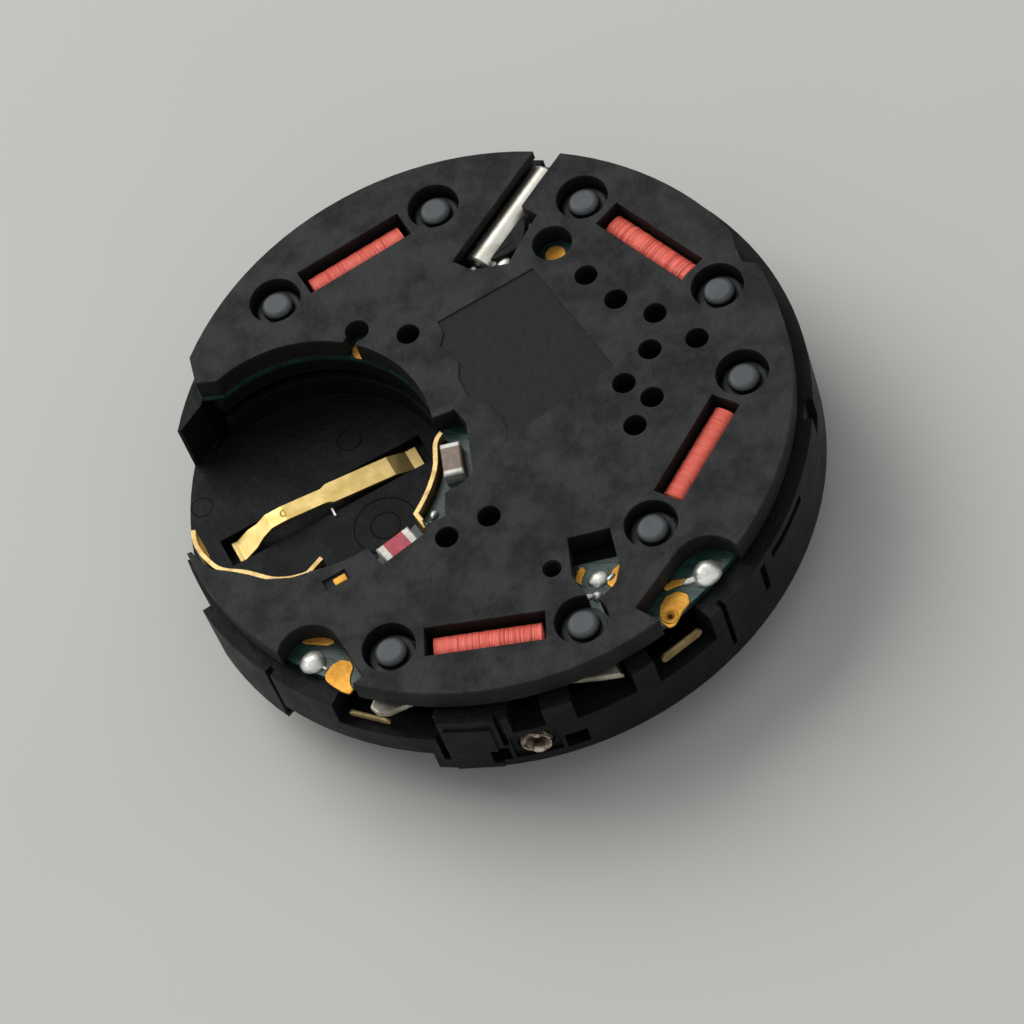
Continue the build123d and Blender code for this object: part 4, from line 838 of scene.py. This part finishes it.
def gold_pads(material):
    """The pads on the board, each cut to its own outline, the eyelet in one of them, and the tail."""
    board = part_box("circuit_board")[1].z / MM
    bm = bmesh.new()
    for outline in (COMMA_PAD, CRESCENT_PAD, BEAN_PAD, STRIP_PAD, LEFT_PAD, RIGHT_PAD):
        lay_pad(bm, outline, board - PAD_SUNK, board + PAD_HEIGHT, PAD_CORNER)
    for x, y, radius in ROUND_PADS:
        lay_disc(bm, x, y, radius, board - PAD_SUNK / 2)
    lay_eyelet(bm, board + PAD_HEIGHT + EYELET_RISE)
    lay_tail(bm, board)
    bmesh.ops.recalc_face_normals(bm, faces=bm.faces)
    for face in bm.faces:
        face.smooth = len(face.verts) == 4
    pads = mesh_object("gold_pads", bm)
    paint(pads, material)
    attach(pads, "frame")
    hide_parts("board_pads")


def solder_mounds(material):
    """Frozen drops of solder, flat below, lumpy on top, some with a tail drawn out to a pad."""
    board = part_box("circuit_board")[1].z
    bm = bmesh.new()
    for x, y, half_length, half_width, height, turn in MOUNDS:
        made = bmesh.ops.create_icosphere(bm, subdivisions=4, radius=1.0)["verts"]
        for vert in made:
            coarse = noise.noise(vert.co * 1.4 + Vector((x, y, 0)))
            fine = noise.noise(vert.co * 3.7 + Vector((y, x, 0)))
            vert.co *= 1 + MOUND_LUMP * (coarse + 0.4 * fine)
        bmesh.ops.scale(bm, vec=(half_length * MM, half_width * MM, height * MM), verts=made)
        turn_flat(bm, made, turn)
        bmesh.ops.translate(bm, vec=(x * MM, y * MM, board), verts=made)
    everything = bm.verts[:] + bm.edges[:] + bm.faces[:]
    level = (0, 0, board - PAD_SUNK * MM)
    cut = bmesh.ops.bisect_plane(bm, geom=everything, plane_co=level, plane_no=(0, 0, 1), clear_inner=True)
    rim = [part for part in cut["geom_cut"] if isinstance(part, bmesh.types.BMEdge)]
    bmesh.ops.holes_fill(bm, edges=rim, sides=0)
    bmesh.ops.recalc_face_normals(bm, faces=bm.faces)
    for face in bm.faces:
        face.smooth = True
    mounds = mesh_object("solder_mounds", bm)
    paint(mounds, material)
    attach(mounds, "frame")
    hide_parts("solder_joints")


def polar(angle, radius):
    """Plan point, in millimetres, at an angle in degrees and a radius."""
    return (radius * math.cos(math.radians(angle)), radius * math.sin(math.radians(angle)))


def pusher_bar(name, material):
    """A slim straight bar with round ends, and the leg that holds it to the body at one end."""
    root, free = BAR_ANGLES[name]
    tall = BAR_HEIGHTS[name]
    start, end = Vector(polar(root, BAR_RADIUS)), Vector(polar(free, BAR_RADIUS))
    along = (end - start).normalized()
    bm = bmesh.new()
    block(bm, ((end - start).length, BAR_SHEET, tall))
    ends = [edge for edge in bm.edges if abs((edge.verts[0].co - edge.verts[1].co).normalized().y) > 0.9]
    round_off(bm, ends, 0.48 * tall, 6)
    turn = Matrix.Rotation(math.atan2(along.y, along.x), 3, "Z")
    bmesh.ops.rotate(bm, matrix=turn, verts=bm.verts)
    middle = (start + end) / 2
    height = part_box(name)[0].z + tall / 2 * MM
    bmesh.ops.translate(bm, vec=(middle.x * MM, middle.y * MM, height), verts=bm.verts)
    leg = block(bm, (BAR_LEG, BAR_SHEET, 0.6 * tall))
    turn_flat(bm, leg, root)
    inward = Vector(polar(root, BAR_RADIUS - BAR_LEG / 2)) + BAR_SHEET * along
    bmesh.ops.translate(bm, vec=(inward.x * MM, inward.y * MM, height), verts=leg)
    round_off(bm, bm.edges[:], BAR_EDGE, 2)
    bar = mesh_object(name.replace("contact", "bar"), bm)
    paint(bar, material)
    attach(bar, name)
    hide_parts(name)


def pusher_sheet(name, material):
    """One of the bare plates, cut off slantwise where it comes out from under the cover."""
    low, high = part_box(name)
    bm = bmesh.new()
    outline = [polar(*corner) for corner in PLATE_CORNERS[name]]
    lay_pad(bm, outline, low.z / MM, high.z / MM, PLATE_ROUNDING)
    bmesh.ops.recalc_face_normals(bm, faces=bm.faces)
    sheet = mesh_object(name.replace("plate", "sheet"), bm)
    paint(sheet, material)
    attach(sheet, "frame")
    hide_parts(name)


def rough_bush(material):
    """The bush of the stem's bore, a ring of dull metal left lumpy where it was pressed in."""
    low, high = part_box("stem_bush")
    middle = (low + high) / 2
    outer = (high.x - low.x) / 2
    half_length = (high.y - low.y) / 2
    thick = BUSH_WALL * outer
    bm = bmesh.new()
    bmesh.ops.create_circle(bm, segments=16, radius=1.0)
    bmesh.ops.scale(bm, vec=(thick / 2, BUSH_LENGTH * half_length, 1), verts=bm.verts)
    bmesh.ops.translate(bm, vec=(BUSH_REACH * outer - thick / 2, 0, 0), verts=bm.verts)
    ring = bm.verts[:] + bm.edges[:]
    bmesh.ops.spin(bm, geom=ring, cent=(0, 0, 0), axis=(0, 1, 0), angle=2 * math.pi, steps=72, use_merge=True)
    bmesh.ops.remove_doubles(bm, verts=bm.verts, dist=MERGE_GAP * MM)
    bmesh.ops.recalc_face_normals(bm, faces=bm.faces)
    bm.normal_update()
    for vert in bm.verts:
        lump = noise.noise(vert.co * (1.9 / MM)) + 0.5 * noise.noise(vert.co * (4.6 / MM))
        vert.co += vert.normal * min(BUSH_LUMP_LIMIT, BUSH_LUMP * lump) * MM
    bmesh.ops.translate(bm, vec=middle, verts=bm.verts)
    for face in bm.faces:
        face.smooth = True
    bush = mesh_object("rough_bush", bm)
    paint(bush, material)
    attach(bush, "frame")
    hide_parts("stem_bush")


def tail_collar(material):
    """The cover's plastic that closes round the copper tail."""
    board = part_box("circuit_board")[1].z
    bm = bmesh.new()
    turn_flat(bm, block(bm, COLLAR_SIZE), TAIL_TURN)
    place = (COLLAR_PLACE[0] * MM, COLLAR_PLACE[1] * MM, board + COLLAR_SIZE[2] / 2 * MM)
    bmesh.ops.translate(bm, vec=place, verts=bm.verts)
    round_off(bm, bm.edges[:], COLLAR_EDGE, 2)
    collar = mesh_object("tail_collar", bm)
    paint(collar, material)
    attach(collar, "frame")


def can_cushion(material):
    """The low dark cushion between the crystal's can and the cover."""
    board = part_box("circuit_board")[1].z / MM
    bm = bmesh.new()
    lay_pad(bm, CUSHION_OUTLINE, board - PAD_SUNK, board + CUSHION_HEIGHT, CUSHION_CORNER, CUSHION_SOFT)
    bmesh.ops.recalc_face_normals(bm, faces=bm.faces)
    cushion = mesh_object("can_cushion", bm)
    paint(cushion, material)
    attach(cushion, "frame")


def slot_tab(material):
    """The small steel tab that stands at the edge of the negative contact's slot."""
    bm = bmesh.new()
    block(bm, TAB_SIZE)
    round_off(bm, bm.edges[:], TAB_EDGE, 2)
    turn_flat(bm, bm.verts, TAB_TURN)
    place = (TAB_PLACE[0] * MM, TAB_PLACE[1] * MM, (POCKET_FLOOR - TAB_SUNK) * MM)
    bmesh.ops.translate(bm, vec=place, verts=bm.verts)
    tab = mesh_object("slot_tab", bm)
    paint(tab, material)
    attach(tab, "frame")


def soften(piece, width):
    """Rounds a piece's sharp edges by a width in millimetres."""
    edges = piece.modifiers.new("soft_edges", "BEVEL")
    edges.width = width * MM
    edges.segments = 3
    edges.limit_method = "ANGLE"
    edges.angle_limit = math.radians(50)


def dress(material, *names):
    """Paints nodes of the frame."""
    for name in names:
        paint(nodes[name], material)


def one_per_motor(name):
    """The names of the like nodes, one for each motor."""
    return [f"{name}_{number}" for number in range(1, MOTORS + 1)]


def dress_mouldings():
    """The plastic parts, the posts and the board."""
    cover = cover_black()
    dress(cover, "circuit_cover")
    tail_collar(cover)
    can_cushion(cover)
    dress(body_black(), "main_plate", "train_bridge")
    dress(post_plastic(), "coil_posts")
    dress(board_laminate(), "circuit_board")


def dress_contacts():
    """The gold blades of the battery."""
    positive = ("positive_contact_left", "positive_contact_right")
    dress(blade_gold(), "negative_contact")
    dress(bright_metal("contact_gold", (0.34, 0.22, 0.08), (0.66, 0.48, 0.22), 0.4, matt=0.3), *positive)
    for name in positive:
        soften(nodes[name], CONTACT_EDGE)


def dress_works():
    """The can, the plates, the wheels and the motors."""
    sheet = bright_metal("plate_steel", (0.34, 0.33, 0.30), (0.52, 0.51, 0.47), 0.4)
    dress(sheet, "dial_side_plate", "yoke", "setting_lever")
    can = bright_metal("can_steel", (0.60, 0.57, 0.48), (0.84, 0.82, 0.74), 0.34, turn=-0.85)
    dress(can, "quartz_crystal")
    steel = bright_metal("turned_steel", (0.42, 0.42, 0.43), (0.62, 0.62, 0.63), 0.3)
    dress(steel, "dial_screws", "cannon_pinion", "setting_wheel", "sliding_pinion")
    dress(steel, *one_per_motor("rotor_pinion"))
    dress(
        bright_metal("wheel_brass", (0.55, 0.40, 0.14), (0.80, 0.62, 0.27), 0.36),
        "counter_wheel_9", "counter_wheel_6", "small_seconds_wheel", "chronograph_seconds_wheel",
        "third_wheel", "centre_wheel", "minute_wheel", "hour_wheel", "setting_transfer_wheel",
    )
    iron = bright_metal("core_iron", (0.10, 0.10, 0.10), (0.18, 0.18, 0.18), 0.5)
    dress(iron, *one_per_motor("coil_core"), *one_per_motor("stator"))
    dress(plain_moulding("magnet_grey", (0.09, 0.09, 0.1), 0.45), *one_per_motor("rotor_magnet"))
    wheel = plain_moulding("wheel_moulding", (0.62, 0.58, 0.5), 0.42)
    dress(wheel, *one_per_motor("intermediate_wheel"), "idler_wheel_3")


def dress_chips():
    """The parts on the board."""
    dress(plain_moulding("chip_resin", (0.018, 0.018, 0.02), 0.4), "ic_chip")
    silver = (0.62, 0.60, 0.55)
    tan = (0.235, 0.165, 0.125)
    middle = sum(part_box("chip_capacitor"), Vector()) / 2
    turn = math.radians(CAPACITOR_TURN)
    capacitor = capped_chip("capacitor_body", middle, turn, CAPACITOR_HALF * MM, tan, silver)
    dress(capacitor, "chip_capacitor")
    crimson = (0.50, 0.028, 0.060)
    middle = sum(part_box("red_diode"), Vector()) / 2
    turn = math.radians(DIODE_TURN)
    diode = capped_chip("diode_body", middle, turn, DIODE_HALF * MM, crimson, silver)
    dress(diode, "red_diode")


def set_the_stage():
    """The pale table under the movement's hand posts, and a pale room."""
    bm = bmesh.new()
    bmesh.ops.create_grid(bm, x_segments=1, y_segments=1, size=TABLE_HALF)
    bmesh.ops.translate(bm, verts=bm.verts, vec=(0, 0, cad_box[0].z))
    table = mesh_object("table", bm)
    material, tree, shader = new_finish("table_paint")
    haze = mask_of(tree, PATCHES, Size=30.0, Low=0.2, High=0.8, Detail=2.0)
    colour = blend_colour(tree, haze, (0.545, 0.555, 0.525), (0.575, 0.585, 0.555))
    wire(tree, colour, shader.inputs["Base Color"])
    shader.inputs["Roughness"].default_value = 0.7
    paint(table, material)
    world = bpy.data.worlds.new("room")
    bpy.context.scene.world = world
    world.use_nodes = True
    room = world.node_tree
    light = room.nodes["Background"]
    light.inputs["Color"].default_value = (0.97, 0.99, 1.0, 1)
    ray = add_node(room, "ShaderNodeLightPath")
    seen = reckon(room, "MAXIMUM", ray.outputs["Is Camera Ray"], ray.outputs["Is Glossy Ray"])
    wire(room, blend_value(room, seen, ROOM_LEVEL, ROOM_SHINE), light.inputs["Strength"])


def hang_lamp():
    """A square soft lamp that faces the middle of the movement."""
    lamp = bpy.data.lights.new("window_light", "AREA")
    lamp.shape = "SQUARE"
    lamp.size = LAMP_SIZE
    lamp.energy = LAMP_POWER
    lamp.color = LAMP_COLOUR
    holder = bpy.data.objects.new("window_light", lamp)
    bpy.context.scene.collection.objects.link(holder)
    holder.location = LAMP_PLACE
    aim = (Vector((0, 0, 0.003)) - Vector(LAMP_PLACE)).normalized()
    holder.rotation_euler = aim.to_track_quat("-Z", "Y").to_euler()


def place_camera():
    """The camera, where the photographer stood."""
    lens = bpy.data.cameras.new("camera")
    lens.sensor_width = 36.0
    lens.lens = LENS_LENGTH
    lens.shift_x, lens.shift_y = LENS_SHIFT
    lens.clip_start = 0.01
    lens.clip_end = 10.0
    camera = bpy.data.objects.new("camera", lens)
    bpy.context.scene.collection.objects.link(camera)
    turn = Matrix((VIEW_RIGHT, VIEW_UP, VIEW_BACK)).transposed().to_4x4()
    camera.matrix_world = Matrix.Translation(LENS_PLACE) @ turn
    bpy.context.scene.camera = camera


dress_mouldings()
dress_contacts()
dress_works()
dress_chips()
for number in range(MOTORS):
    wound_coil(number)
gold_pads(pad_gold())
solder_mounds(bright_metal("solder", (0.5, 0.5, 0.46), (0.95, 0.95, 0.90), 0.46, lumps=0.012))
bar_gold = pusher_gold()
for name in BAR_ANGLES:
    pusher_bar(name, bar_gold)
plate_nickel = bright_metal(
    "plate_nickel", (0.24, 0.22, 0.17), (0.58, 0.55, 0.46), 0.48, turn=0.4, run=5.0, matt=0.3
)
for name in PLATE_CORNERS:
    pusher_sheet(name, plate_nickel)
rough_bush(stained_metal())
slot_tab(bright_metal("tab_steel", (0.4, 0.39, 0.36), (0.62, 0.61, 0.58), 0.35))
set_the_stage()
hang_lamp()
place_camera()
bpy.context.scene.view_settings.view_transform = "Standard"
